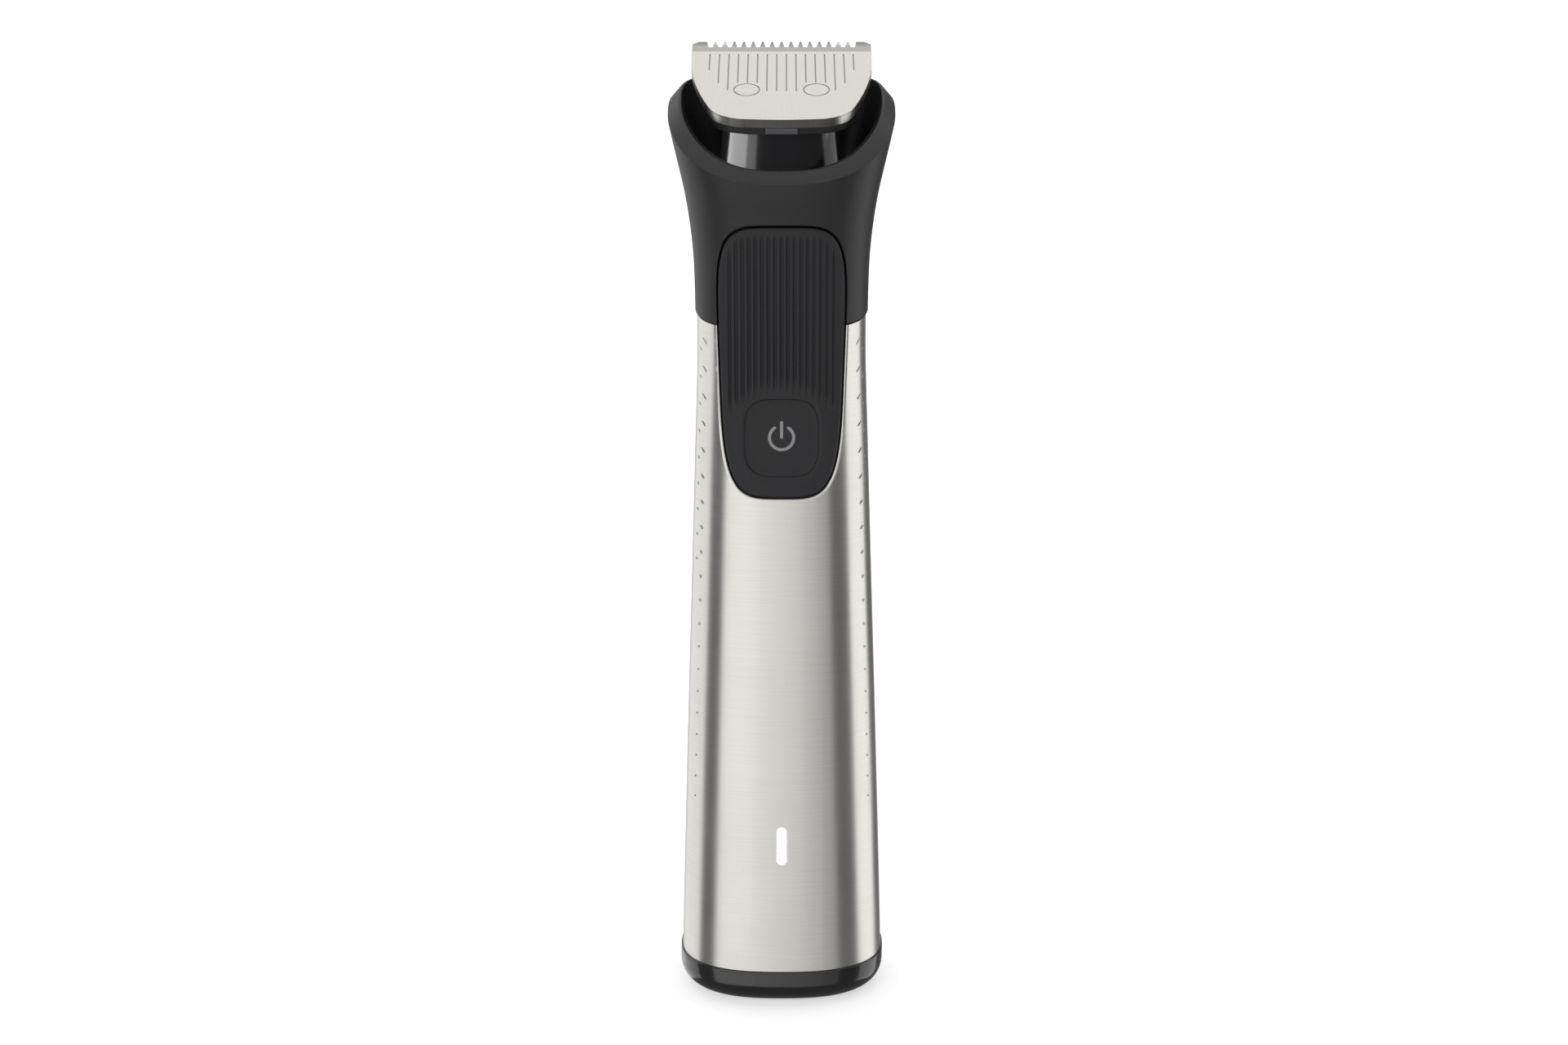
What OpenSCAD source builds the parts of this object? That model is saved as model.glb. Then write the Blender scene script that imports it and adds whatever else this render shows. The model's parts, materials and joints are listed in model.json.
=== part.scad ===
// Cordless beard trimmer: a steel-sleeved handle with a flared collar, a soft grip pad with a
// power button, and a lift-off cutting head driven by an eccentric on the motor shaft.
// Millimetres. +Z runs up the handle, the grip pad faces -Y, and the foot stands on z = 0.

/* [Handle] */
// Half the width of the foot, in X
foot_half_w = 18.1; // [17:0.1:19]
// Half the depth of the foot, in Y
foot_half_d = 14.1; // [13.5:0.1:15]
// Half the width of the handle at its waist
waist_half_w = 14.5; // [14.3:0.1:15]
// Squareness of the handle's cross section, where 2 is an ellipse
section_power = 2.5; // [2.3:0.1:3]
// Squareness of the collar at its rim
rim_power = 3; // [2.5:0.1:3.2]
// Height of the foot cap below the sleeve
foot_h = 6.5; // [6:0.5:8]
// Height of the joint between the sleeve and the collar, at the sides
collar_z = 121.5; // [121:0.25:122]
// Thickness of the steel sleeve
sleeve_t = 0.8; // [0.5:0.1:0.9]

/* [Grip pad] */
// Height of the pad's centre
pad_z = 114.1; // [113:0.1:115]
// Half the height of the pad
pad_half_h = 22.45; // [22:0.05:23]
// Half the width of the pad at its middle
pad_half_w = 10.15; // [9.8:0.05:10.4]
// Height of the power button's centre
button_z = 101.7; // [101:0.1:102.5]
// How far the power button travels
button_travel = 0.6; // [0.3:0.1:0.6]

/* [Cutting head] */
// Tilt of the guard plate from level
plate_tilt = 24; // [23:0.5:25]
// Number of pointed teeth between the end blocks
tooth_count = 15; // [13:2:15]
// Distance from tooth to tooth
tooth_pitch = 1.6; // [1.5:0.02:1.6]
// Length of the guard plate from its rounded edge to the tooth tips
plate_len = 28.75; // [28:0.25:29]
// Half the width of the guard plate
plate_half_w = 15.1; // [14.8:0.1:15.3]
// Throw of the eccentric pin, which is half the cutter's stroke
throw = 0.8; // [0.5:0.1:0.8]

/* [Hidden] */
$fn = 48;
around = 72;              // points round a moulded skin
eps = 0.02;

// Outer form of the handle: half width, front depth and back depth against height.
half_w_keys = [
    [0, foot_half_w], [foot_h, foot_half_w], [45, 16.9], [75, 15.85], [100, 15.0],
    [114, waist_half_w + 0.05], [124, waist_half_w + 0.05], [132, 14.85], [140, 15.85],
    [147, 17.35], [151, 18.3], [154, 18.75], [158, 18.85], [166, 18.85]
];
front_keys = [
    [0, foot_half_d], [foot_h, foot_half_d], [40, 13.9], [75, 13.4], [105, 12.9], [121, 12.85],
    [130, 13.4], [137, 14.5], [143.5, 16], [150, 16.6], [166, 16.6]
];
back_keys = [
    [0, foot_half_d], [foot_h, foot_half_d], [40, 14.2], [75, 13.9], [105, 13.2], [121, 13],
    [132, 13.6], [144, 15], [155, 16], [166, 16]
];

// Joints between the skins
sleeve_inset = 0.3;       // the sleeve lies this far inside the form
sleeve_in = sleeve_inset + sleeve_t;
pad_proud = 0.2;
pad_in = 1.8;             // depth of the pad's back below the form
button_dish = 0.35;
symbol_proud = 0.03;
pad_gap = 0.21;
seat_gap = 0.1;           // room behind the pad
pad_taper = 0.033;        // growth of the pad's half width with height
seam_slope = 0.125;       // the joint below the collar falls this much towards the front
gasket_t = 0.3;

// Collar
lip_in = 2.4;
lip_up = 2.6;
rim_side_z = 154.1;       // height of the rim's outer edge at the sides
rim_slope = 0.374;
rim_bend = [0.0181, 0.01]; // in front of the sides and behind them
rim_depth = 16;
collar_wall = 2.8;
deck_low = 129.5;
deck_top = 132;

// Drive
drive_y = 1;              // the motor, eccentric and driver share this Y
plate_y0 = -12;           // lower front edge of the guard plate
plate_z0 = 153.4;
plate_t = 0.6;
skirt_h = 1.5;
bevel_y = 24.4;           // where the thinned tooth strip begins
bevel_angle = 4;
gap_depth = 2.45;
side_r = 50;              // radius of the plate's flanks
side_y = 22.3;            // where the flanks become parallel
edge_r = 70;              // radius of the plate's lower edge
stud = [5.7, 10.45];      // weld studs, across and up the plate
stud_low = -2.2;
tray_low = -3;
cutter_t = 0.5;
cutter_top = -plate_t - 0.05;
pin_r = 0.9;
shaft_r = 1;
neck_z0 = 133;
neck_power = 3;
neck_low = [11.7, 10.4];  // half width and half depth at the neck's foot
neck_high = [9.2, 8.8, 7.8];
neck_wall = 1.5;

// Frame inside the sleeve
frame_w = 12.9;
frame_front_d = 10.4;
frame_back_d = 11.2;
frame_wall = 1.3;
frame_z0 = 13;
frame_z1 = 119.6;
frame_split = -2;
frame_screw_x = 9.4;
frame_screw_z = [22, 73];
battery_z = 16;
battery_y = 2.5;
battery_r = 7;
battery_h = 50;
board_y = -7.6;           // front face of the circuit board
board_t = 0.8;
led_z = 30;
lens_r = 0.75;
lens_h = 6.8;
lens_gap = 0.06;

// Motor
can_z0 = 84.5;
can_z1 = 112;
can_r = 10.2;
can_flat = 7.7;
can_t = 0.9;
motor_screw_x = 5.6;
deck_screw = [8.6, 3.6];

// ---- Curves ----

// Smooth curve through [position, value] keys
function slope(k, i) = let (a = max(i - 1, 0), b = min(i + 1, len(k) - 1))
    (k[b][1] - k[a][1]) / (k[b][0] - k[a][0]);
function smooth(k, z, i = 0) =
    i < len(k) - 2 && z > k[i + 1][0] ? smooth(k, z, i + 1) :
    let (
        h = k[i + 1][0] - k[i][0],
        t = min(max((z - k[i][0]) / h, 0), 1)
    )
    (2*t*t*t - 3*t*t + 1) * k[i][1] + (t*t*t - 2*t*t + t) * h * slope(k, i)
    + (3*t*t - 2*t*t*t) * k[i + 1][1] + (t*t*t - t*t) * h * slope(k, i + 1);

function half_w(z) = smooth(half_w_keys, z);
function front_d(z) = smooth(front_keys, z);
function back_d(z) = smooth(back_keys, z);
function turn(i, n = around) = 360 * i / n;
function power(v, p) = sign(v) * pow(abs(v), p);
function ease(t) = let (u = min(max(t, 0), 1)) u * u * (3 - 2 * u);

// Squareness of the section at height z
function squareness(z) = section_power + (rim_power - section_power) * ease((z - 125) / 25);

// Point of a squared oval at angle a
function oval(a, w, front, back, p = section_power) =
    [w * power(cos(a), 2 / p), (sin(a) < 0 ? front : back) * power(sin(a), 2 / p)];

// Point of the handle's form at height z and angle a, moved inwards by inset
function form(z, a, inset) =
    let (
        w = half_w(z) - inset,
        q = oval(a, w, front_d(z) - inset, back_d(z) - inset, squareness(z))
    )
    [q.x, q.y, z];
function form_ring(z, inset) = [for (i = [0 : around - 1]) form(z, turn(i), inset)];

// Depth of the front face at x and z, moved inwards by inset
function face_y(x, z, inset) =
    let (r = min(abs(x) / (half_w(z) - inset), 0.999))
    -(front_d(z) - inset) * pow(1 - pow(r, squareness(z)), 1 / squareness(z));

// Height of the collar rim's outer edge at angle a
function rim_z(a) = let (y = rim_depth * power(sin(a), 2 / rim_power))
    rim_side_z + rim_slope * y - rim_bend[y < 0 ? 0 : 1] * y * y;

// Ring on the slanted joint below the collar, moved inwards by inset and down by drop
function seam_ring(inset, drop = 0) = [
    for (q = form_ring(collar_z, inset)) [q.x, q.y, collar_z + seam_slope * q.y - drop]
];

// Outline of the grip pad and of the button in X and Z, grown by g
function pad_outline(a, g) =
    let (
        p = sin(a) < 0 ? 4.3 : 4.7,
        z = pad_z + (pad_half_h + g) * power(sin(a), 2 / p),
        w = pad_half_w + pad_taper * (z - pad_z) + g
    )
    [w * power(cos(a), 2 / p), z];
function button_outline(a, g) = let (q = oval(a, 6.1 + g, 6.5 + g, 6.5 + g, 3.5))
    [q.x, button_z + q.y];
function on_face(q, inset) = [q.x, face_y(q.x, q.y, inset), q.y];

// ---- Solids from rings ----

// Skin over a list of rings. A looped skin joins its last ring to its first; another is capped.
module skin(rings, looped = false) {
    n = len(rings[0]);
    m = len(rings);
    mid = function (r) [for (k = [0 : 2]) (max([for (q = r) q[k]]) + min([for (q = r) q[k]])) / 2];
    points = [for (r = rings) each r];
    bands = looped ? m : m - 1;
    walls = [
        for (j = [0 : bands - 1], i = [0 : n - 1])
            let (
                a = j * n + i,
                b = j * n + (i + 1) % n,
                c = ((j + 1) % m) * n + (i + 1) % n,
                d = ((j + 1) % m) * n + i
            )
            each [[a, c, b], [a, d, c]]
    ];
    first = [for (i = [0 : n - 1]) [m * n, i, (i + 1) % n]];
    last = [for (i = [0 : n - 1]) [m * n + 1, (m - 1) * n + (i + 1) % n, (m - 1) * n + i]];
    polyhedron(
        looped ? points : concat(points, [mid(rings[0]), mid(rings[m - 1])]),
        looped ? walls : concat(walls, first, last),
        convexity = 8
    );
}

// Moulded skins are cut as one freeform mesh
module freeform() {
    resize([0, 0, 0]) children();
}

module at_plate() {
    translate([0, plate_y0, plate_z0]) rotate([plate_tilt, 0, 0]) children();
}

// Cylinder along +Y from y0 to y1
module rod_y(x, z, y0, y1, r) {
    translate([x, y0, z]) rotate([-90, 0, 0]) cylinder(h = y1 - y0, r = r);
}

// Stadium-ended slot along +Y
module slot_y(z, y0, y1, r, length) {
    for (s = [-1, 1]) rod_y(0, z + s * (length / 2 - r), y0, y1, r);
    translate([-r, y0, z - length / 2 + r]) cube([2 * r, y1 - y0, length - 2 * r]);
}

// Upright block with round corners, centred in X and Y
module soft_block(w, d, r, z0, z1) {
    translate([0, 0, z0]) linear_extrude(z1 - z0) soft_rect(w, d, r);
}

module soft_rect(w, d, r) {
    square([w, d - 2 * r], center = true);
    square([w - 2 * r, d], center = true);
    for (x = [-1, 1], y = [-1, 1]) translate([x * (w / 2 - r), y * (d / 2 - r)]) circle(r);
}

// Round wire along a smooth path near the points of a list, never running along X
module wire(points, r) {
    sides = 12;
    steps = 10;
    n = len(points) - 1;
    along = function (t) let (
            i = min(floor(t * n), n - 1),
            f = t * n - i,
            a = points[max(i - 1, 0)],
            b = points[i],
            c = points[i + 1],
            d = points[min(i + 2, n)]
        )
        b + f * (c - a) / 2 + f * f * (a - 2.5 * b + 2 * c - d / 2)
        + f * f * f * (1.5 * b - 1.5 * c + (d - a) / 2);
    ring = function (t) let (
            v = along(min(t + 0.01, 1)) - along(max(t - 0.01, 0)),
            p = cross(v, [1, 0, 0]),
            q = cross(v, p)
        )
        [for (i = [0 : sides - 1])
            along(t) + r * (cos(turn(i, sides)) * p / norm(p) + sin(turn(i, sides)) * q / norm(q))];
    skin([for (k = [0 : steps]) ring(k / steps)]);
}

// Countersunk screw pointing down, with its head's top at the origin
module screw(length, r = 0.8, head_r = 1.6, head_h = 1.1) {
    translate([0, 0, -length]) cylinder(h = length - head_h + eps, r = r);
    translate([0, 0, -head_h]) difference() {
        cylinder(h = head_h, r = head_r);
        translate([-head_r, -0.2, head_h - 0.5]) cube([2 * head_r, 0.4, 1]);
        translate([-0.2, -head_r, head_h - 0.5]) cube([0.4, 2 * head_r, 1]);
    }
}

// ---- Outer shells ----

// Patch of the front face between two outlines, from one depth to another
module pad_patch(grow, out, in) {
    steps = 5;
    edge = function (u, i) u * pad_outline(turn(-i), grow) + (1 - u) * [0, pad_z];
    disc = function (inset) [
        for (k = [1 : steps]) [for (i = [0 : around - 1]) on_face(edge(k / steps, i), inset)]
    ];
    skin(concat(disc(out), [for (k = [steps - 1 : -1 : 0]) disc(in)[k]]));
}

module steel_sleeve() {
    levels = [foot_h, 20, 40, 60, 75, 90, 100, 108, 114];
    inner = [for (k = [len(levels) - 1 : -1 : 0]) levels[k]];
    color("silver") freeform() difference() {
        skin(concat(
            [for (z = levels) form_ring(z, sleeve_inset)],
            [seam_ring(sleeve_inset, gasket_t), seam_ring(sleeve_in, gasket_t)],
            [for (z = inner) form_ring(z, sleeve_in)]
        ), looped = true);
        pad_patch(pad_gap, -3, pad_in + 2);
        slot_y(led_z, -20, -5, lens_r + lens_gap, lens_h + 2 * lens_gap);
    }
}

module collar_gasket() {
    color("black") freeform() difference() {
        skin([
            seam_ring(sleeve_in, gasket_t),
            seam_ring(sleeve_in),
            seam_ring(collar_wall - eps),
            seam_ring(collar_wall - eps, gasket_t)
        ], looped = true);
        pad_patch(pad_gap, -3, pad_in + seat_gap);
    }
}

module head_collar() {
    foot = seam_ring(0);
    rise = function (t) [
        for (i = [0 : around - 1])
            let (a = turn(i), z = foot[i].z) form(z + t * (rim_z(a) - z), a, 0)
    ];
    lip = [
        for (i = [0 : around - 1])
            let (a = turn(i)) form(rim_z(a), a, lip_in) + [0, 0, lip_up]
    ];
    down = function (t) [
        for (i = [0 : around - 1])
            let (a = turn(i), z = deck_top + t * (rim_z(a) - deck_top), q = form(z, a, lip_in))
            [q.x, q.y, z + t * lip_up]
    ];
    color([0.18, 0.18, 0.19]) freeform() difference() {
        skin(concat(
            [form_ring(deck_low, collar_wall), seam_ring(collar_wall), foot],
            [for (t = [0.15, 0.3, 0.45, 0.6, 0.75, 0.9, 1]) rise(t)],
            [lip],
            [for (t = [0.8, 0.55, 0.3, 0]) down(t)]
        ));
        pad_patch(pad_gap, -3, pad_in + seat_gap);
        translate([0, drive_y, deck_low - 1]) cylinder(h = 4, r = 5);
        for (x = [-1, 1]) translate([x * deck_screw.x, deck_screw.y, deck_low - 1]) {
            cylinder(h = 4, r = 1.1);
            translate([0, 0, deck_top - deck_low - 0.2]) cylinder(h = 3, r = 2);
        }
    }
}

module shaft_seal() {
    color("black") translate([0, drive_y, deck_low]) difference() {
        cylinder(h = deck_top - deck_low, r = 5 - eps);
        translate([0, 0, -1]) cylinder(h = 5, r = 2.55);
        translate([0, 0, 0.7]) rotate_extrude() translate([2.4, 0]) square([1.2, 0.9]);
    }
}

module deck_screws() {
    color("silver") for (x = [-1, 1])
        translate([x * deck_screw.x, deck_screw.y, deck_top - 0.1]) screw(12);
}

module grip_pad() {
    steps = 9;
    blend = function (u, i)
        u * pad_outline(turn(-i), 0) + (1 - u) * button_outline(turn(-i), 0);
    ring = function (u, inset) [for (i = [0 : around - 1]) on_face(blend(u, i), inset)];
    color([0.2, 0.2, 0.21]) skin(concat(
        [ring(0, 0.5)],
        [for (k = [1 : steps - 1]) ring(k / steps, -pad_proud)],
        [ring(1, 0.35), ring(1, pad_in)],
        [for (k = [steps - 1 : -1 : 0]) ring(k / steps, pad_in)]
    ), looped = true);
}

module power_button() {
    steps = 4;
    clearance = 0.15;
    flange = 0.8;
    centre = [0, button_z];
    edge = function (u, i, g) u * button_outline(turn(-i), g) + (1 - u) * centre;
    ring = function (u, g, inset) [for (i = [0 : around - 1]) on_face(edge(u, i, g), inset)];
    color([0.17, 0.17, 0.18]) freeform() difference() {
        skin(concat(
            [for (k = [1 : steps - 1])
                ring(k / steps, -clearance, button_dish * (1 - pow(k / steps, 3)))],
            [ring(1, -clearance, 0.35), ring(1, -clearance, pad_in + 0.1)],
            [ring(1, flange, pad_in + 0.1), ring(1, flange, pad_in + 0.7)],
            [for (k = [steps - 1 : -1 : 1]) ring(k / steps, flange, pad_in + 0.7)]
        ));
        symbol(0.02);
    }
}

// Broken ring and upright bar, grown by g in the plane of the button
module symbol(g = 0) {
    ring_r = 2;
    line = 0.5 + 2 * g;
    deep = 0.35 + g;
    front = -front_d(button_z) + button_dish - symbol_proud;
    translate([0, front, button_z]) rotate([90, 0, 0]) {
        rotate([0, 0, 125 - 30 * g]) rotate_extrude(angle = 290 + 60 * g)
            translate([ring_r - line / 2, -deep]) square([line, deep + 4 * g]);
        translate([-line / 2, -0.1 - g, -deep]) cube([line, 2.9 + 2 * g, deep + 4 * g]);
    }
}

module power_symbol() {
    color("gainsboro") symbol();
}

module indicator_lens() {
    color("white") slot_y(led_z, -13.72, -8.7, lens_r, lens_h);
}

// ---- Foot ----

module foot_cap() {
    r = 4.3;
    bend = [for (k = [0 : 6]) form_ring(r * (1 - cos(15 * k)), r * (1 - sin(15 * k)))];
    floor_z = 2.4;
    spigot = sleeve_in + 0.15;
    color([0.15, 0.15, 0.16]) difference() {
        freeform() skin(concat(
            bend,
            [form_ring(foot_h, 0), form_ring(foot_h, spigot)],
            [form_ring(8.4, spigot), form_ring(8.4, spigot + 0.9)],
            [form_ring(9.8, spigot + 0.9), form_ring(9.8, spigot)],
            [form_ring(12, spigot), form_ring(12, 3.4), form_ring(floor_z + 1, 3.4)],
            [form_ring(floor_z, 4.4)]
        ));
        soft_block(12.2, 8.2, 2, -1, 5);
    }
}

module foot_seal() {
    color("dimgray") skin([
        form_ring(8.5, sleeve_in + 1), form_ring(8.5, sleeve_in + 0.05),
        form_ring(9.7, sleeve_in + 0.05), form_ring(9.7, sleeve_in + 1)
    ], looped = true);
}

module charging_socket() {
    color("black") difference() {
        union() {
            soft_block(12.1, 8.1, 2, 0.3, 9);
            soft_block(14.4, 10.4, 2, 2.45, 3.8);
        }
        soft_block(9.2, 5.4, 2.2, 0, 7.3);
        for (x = [-2, 2]) translate([x, 0, 6]) cylinder(h = 5, r = 0.5);
    }
}

module charging_pins() {
    color("gold") for (x = [-2, 2]) translate([x, 0, 5.9]) {
        cylinder(h = 4.6, r = 0.5 - eps / 2);
        translate([0, 0, 4.6]) cylinder(h = 1, r = 0.35);
    }
}

// ---- Frame, battery and electronics ----

// Cross section of the frame, moved inwards by inset
module frame_section(inset) {
    polygon([
        for (i = [0 : around - 1])
            oval(turn(i), frame_w - inset, frame_front_d - inset, frame_back_d - inset)
    ]);
}

module frame_solid(z0, z1, inset = 0) {
    translate([0, 0, z0]) linear_extrude(z1 - z0) frame_section(inset);
}

// Screw bosses, kept within the frame's outline
module frame_bosses(y0, y1) {
    intersection() {
        for (x = [-1, 1], z = frame_screw_z) rod_y(x * frame_screw_x, z, y0, y1, 1.9);
        frame_solid(frame_z0, frame_z1);
    }
}

module frame_front() {
    color("dimgray") difference() {
        union() {
            difference() {
                frame_solid(frame_z0, frame_z1);
                frame_solid(frame_z0 - 1, frame_z1 + 1, frame_wall);
                translate([-20, frame_split, 0]) cube([40, 20, 150]);
            }
            frame_bosses(-10.4, frame_split);
        }
        for (x = [-1, 1], z = frame_screw_z) {
            rod_y(x * frame_screw_x, z, -11, 0, 1);
            rod_y(x * frame_screw_x, z, -11, -7, 1.75);
        }
        translate([-8.5, -12, button_z - 8.6]) cube([17, 4.5, 17.2]);
        slot_y(led_z, -12, -8, 1, 7.6);
    }
}

module frame_rear() {
    bulkhead_z = [14, 67.2];
    color("dimgray") difference() {
        union() {
            difference() {
                frame_solid(frame_z0, frame_z1);
                frame_solid(frame_z0 - 1, frame_z1 + 1, frame_wall);
                translate([-20, frame_split - 20, 0]) cube([40, 20, 150]);
            }
            for (z = bulkhead_z) intersection() {
                frame_solid(z, z + 1.5, eps);
                translate([-20, frame_split, 0]) cube([40, 20, 150]);
            }
            frame_bosses(frame_split, 10);
        }
        for (x = [-1, 1], z = frame_screw_z) rod_y(x * frame_screw_x, z, -3, 5.5, 0.8);
        for (z = bulkhead_z) translate([-3, frame_split - 1, z - 1]) cube([6, 3, 4]);
    }
}

module frame_screws() {
    color("silver") for (x = [-1, 1], z = frame_screw_z)
        translate([x * frame_screw_x, -8.1, z]) rotate([90, 0, 0]) screw(12.4, 0.79);
}

module battery_cell() {
    color("royalblue") translate([0, battery_y, battery_z]) {
        cylinder(h = battery_h, r = battery_r);
        translate([0, 0, battery_h]) cylinder(h = 0.6, r = 2.6);
    }
}

module battery_tabs() {
    color("silver") {
        translate([-1.6, -6, battery_z + battery_h + 0.6]) cube([3.2, battery_y + 8, 0.2]);
        translate([-1.6, -6, battery_z - 0.2]) cube([3.2, battery_y + 8, 0.2]);
        for (z = [battery_z - 0.2, battery_z + battery_h - 3])
            translate([-1.6, -6.2, z]) cube([3.2, 0.2, 3.8]);
    }
}

module circuit_board() {
    color("darkgreen") difference() {
        translate([-7.2, board_y, 18]) cube([14.4, board_t, 94]);
        for (x = [-5.4, 5.4], z = [24, 84]) rod_y(x, z, board_y - 1, board_y + 2, 0.6);
    }
}

module board_chips() {
    chips = [[-3, 44, 5, 5, 0.9], [3, 54, 4, 5, 1], [-2, 64, 3, 6, 1.1], [3.4, 72, 3, 3, 0.8],
             [-3.4, 78, 2.6, 4, 0.8], [0, 88, 5, 4, 0.9]];
    color("black") for (c = chips)
        translate([c[0] - c[2] / 2, board_y - c[4], c[1] - c[3] / 2]) cube([c[2], c[4], c[3]]);
}

module tact_switch() {
    color("silver") difference() {
        translate([-3, -9, button_z - 3]) cube([6, 9 + board_y, 6]);
        rod_y(0, button_z, -9.5, -7.75, 1.3);
    }
}

module switch_plunger() {
    color("black") rod_y(0, button_z, -10.38, -8.5, 1.15);
}

module status_led() {
    color("white") translate([-0.8, board_y - 0.7, led_z - 1.6]) cube([1.6, 0.7, 3.2]);
}

// ---- Motor ----

// Flat-sided round section of the motor can
module can_section(r, flat) {
    intersection() {
        circle(r);
        square([3 * r, 2 * flat], center = true);
    }
}

module at_motor(z) {
    translate([0, drive_y, z]) children();
}

module motor_can() {
    color("silver") at_motor(can_z0) difference() {
        union() {
            linear_extrude(can_z1 - can_z0) can_section(can_r, can_flat);
            translate([0, 0, can_z1 - can_z0]) cylinder(h = 1.5, r = 3);
        }
        translate([0, 0, -1]) linear_extrude(can_z1 - can_z0 - can_t + 1)
            can_section(can_r - can_t, can_flat - can_t);
        translate([0, 0, 20]) cylinder(h = 10, r = 2);
        for (x = [-1, 1]) translate([x * motor_screw_x, 0, 20]) cylinder(h = 10, r = 0.85);
    }
}

module motor_magnets() {
    color("dimgray") at_motor(90) for (side = [0, 180])
        rotate([0, 0, side - 38]) rotate_extrude(angle = 76) translate([6.8, 0]) square([2.4, 18]);
}

module motor_end_cap() {
    color("ivory") at_motor(81.5) difference() {
        union() {
            linear_extrude(3) can_section(can_r, can_flat);
            linear_extrude(4.2) can_section(can_r - can_t - 0.05, can_flat - can_t - 0.05);
        }
        translate([0, 0, 3]) cylinder(h = 3, r = 6.2);
        translate([0, 0, -1]) cylinder(h = 6, r = 2);
        for (x = [-1, 1]) translate([x * 4.4 - 0.6, -1, -1]) cube([1.2, 2, 6]);
    }
}

module motor_bushes() {
    color("goldenrod") for (z = [81.5, can_z1 - 0.9]) at_motor(z) difference() {
        cylinder(h = z < 90 ? 2.9 : 2.4, r = 2 - eps / 2);
        translate([0, 0, -1]) cylinder(h = 5, r = shaft_r + 0.03);
    }
}

module motor_brushes() {
    color("peru") for (x = [-1, 1]) at_motor(86) translate([x * 3.4, 0, 0]) {
        translate([-0.9, -0.9, 0.4]) cube([1.8, 1.8, 1.8]);
    }
}

module motor_terminals() {
    color("gold") for (x = [-1, 1]) at_motor(78) translate([x * 4.55 - 0.25, -0.8, 0])
        cube([0.5, 1.6, 10.2]);
}

module armature_core() {
    poles = 3;
    color("gray") at_motor(92) difference() {
        cylinder(h = 14, r = 6.3);
        translate([0, 0, -1]) cylinder(h = 16, r = shaft_r);
        for (k = [0 : poles - 1]) rotate([0, 0, 120 * k + 60]) {
            translate([3.2, -0.6, -1]) cube([5, 1.2, 16]);
            translate([3.6, -1.9, -1]) cube([1.6, 3.8, 16]);
        }
    }
}

module armature_windings() {
    color("sienna") at_motor(90.65) for (z = [0, 15.35]) translate([0, 0, z]) difference() {
        cylinder(h = 1.35, r = 5.6);
        translate([0, 0, -1]) cylinder(h = 5, r = 2.6);
    }
}

module commutator() {
    color("goldenrod") at_motor(86) difference() {
        cylinder(h = 4.2, r = 2.4);
        translate([0, 0, -1]) cylinder(h = 6, r = shaft_r);
        for (k = [0 : 2]) rotate([0, 0, 120 * k]) translate([1.8, -0.15, -1]) cube([2, 0.3, 6]);
    }
}

module motor_shaft() {
    color("lightgray") at_motor(81.8) cylinder(h = 42, r = shaft_r);
}

module motor_mount() {
    post_top = deck_low;
    color("dimgray") difference() {
        union() {
            frame_solid(can_z1, can_z1 + 2, frame_wall + 0.15);
            for (x = [-1, 1]) translate([x * deck_screw.x, deck_screw.y, can_z1])
                cylinder(h = post_top - can_z1, r = 2.1);
        }
        at_motor(can_z1 - 1) cylinder(h = 4, r = 3.05);
        for (x = [-1, 1]) {
            at_motor(can_z1 - 1) translate([x * motor_screw_x, 0, 0]) cylinder(h = 4, r = 0.9);
            translate([x * deck_screw.x, deck_screw.y, 118]) cylinder(h = 20, r = 0.8);
        }
        translate([-7.6, -12, can_z1 - 1]) cube([15.2, 12 + board_y + board_t + 0.2, 4]);
    }
}

module motor_screws() {
    color("silver") for (x = [-1, 1]) at_motor(can_z1 + 3.1)
        translate([x * motor_screw_x, 0, 0]) screw(5.2);
}

module eccentric_hub() {
    color("whitesmoke") at_motor(115.5) difference() {
        union() {
            cylinder(h = 5.5, r = 3.4);
            cylinder(h = 18.3, r = 2.5);
        }
        translate([0, 0, -1]) cylinder(h = 9.3, r = shaft_r);
        translate([0, -throw, 12]) cylinder(h = 10, r = pin_r);
        translate([-4, -4, 2.5]) cube([8, 2.2, 4]);
    }
}

module eccentric_pin() {
    color("lightgray") at_motor(127.5) translate([0, -throw, 0]) {
        cylinder(h = 13.6, r = pin_r);
        translate([0, 0, 13.6]) cylinder(h = 0.4, r1 = pin_r, r2 = pin_r - 0.35);
    }
}

// ---- Cutting head ----

// Half width of the guard plate's outline at height y up the plate
function plate_side(y) = y > side_y ? plate_half_w
    : plate_half_w - side_r + sqrt(side_r * side_r - (side_y - y) * (side_y - y));
function plate_edge(x) = edge_r - sqrt(edge_r * edge_r - x * x);
function bezier(a, b, c, t) = (1 - t) * (1 - t) * a + 2 * t * (1 - t) * b + t * t * c;

// Right half of the outline up to the height top, moved inwards by inset
function plate_half(top, inset) =
    let (
        low = 4.1,
        flat_x = 7,
        a = [flat_x, plate_edge(flat_x)],
        b = [plate_side(low) - 0.95, 1.3],
        c = [plate_side(low), low],
        side = [for (k = [1 : 8]) let (y = low + k * (side_y - low) / 8) [plate_side(y), y]]
    )
    concat(
        [for (k = [0 : 5]) let (x = flat_x * k / 5) [x, plate_edge(x) + inset]],
        [for (k = [1 : 5]) bezier(a, b, c, k / 5) + [-inset * k / 5, inset * (1 - k / 5)]],
        [for (q = side) if (q.y < top) q - [inset, 0]],
        [[plate_half_w - inset, top]]
    );

module plate_outline(top, inset = 0) {
    right = plate_half(top, inset);
    polygon(concat(right, [for (k = [len(right) - 1 : -1 : 1]) [-right[k].x, right[k].y]]));
}

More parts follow.
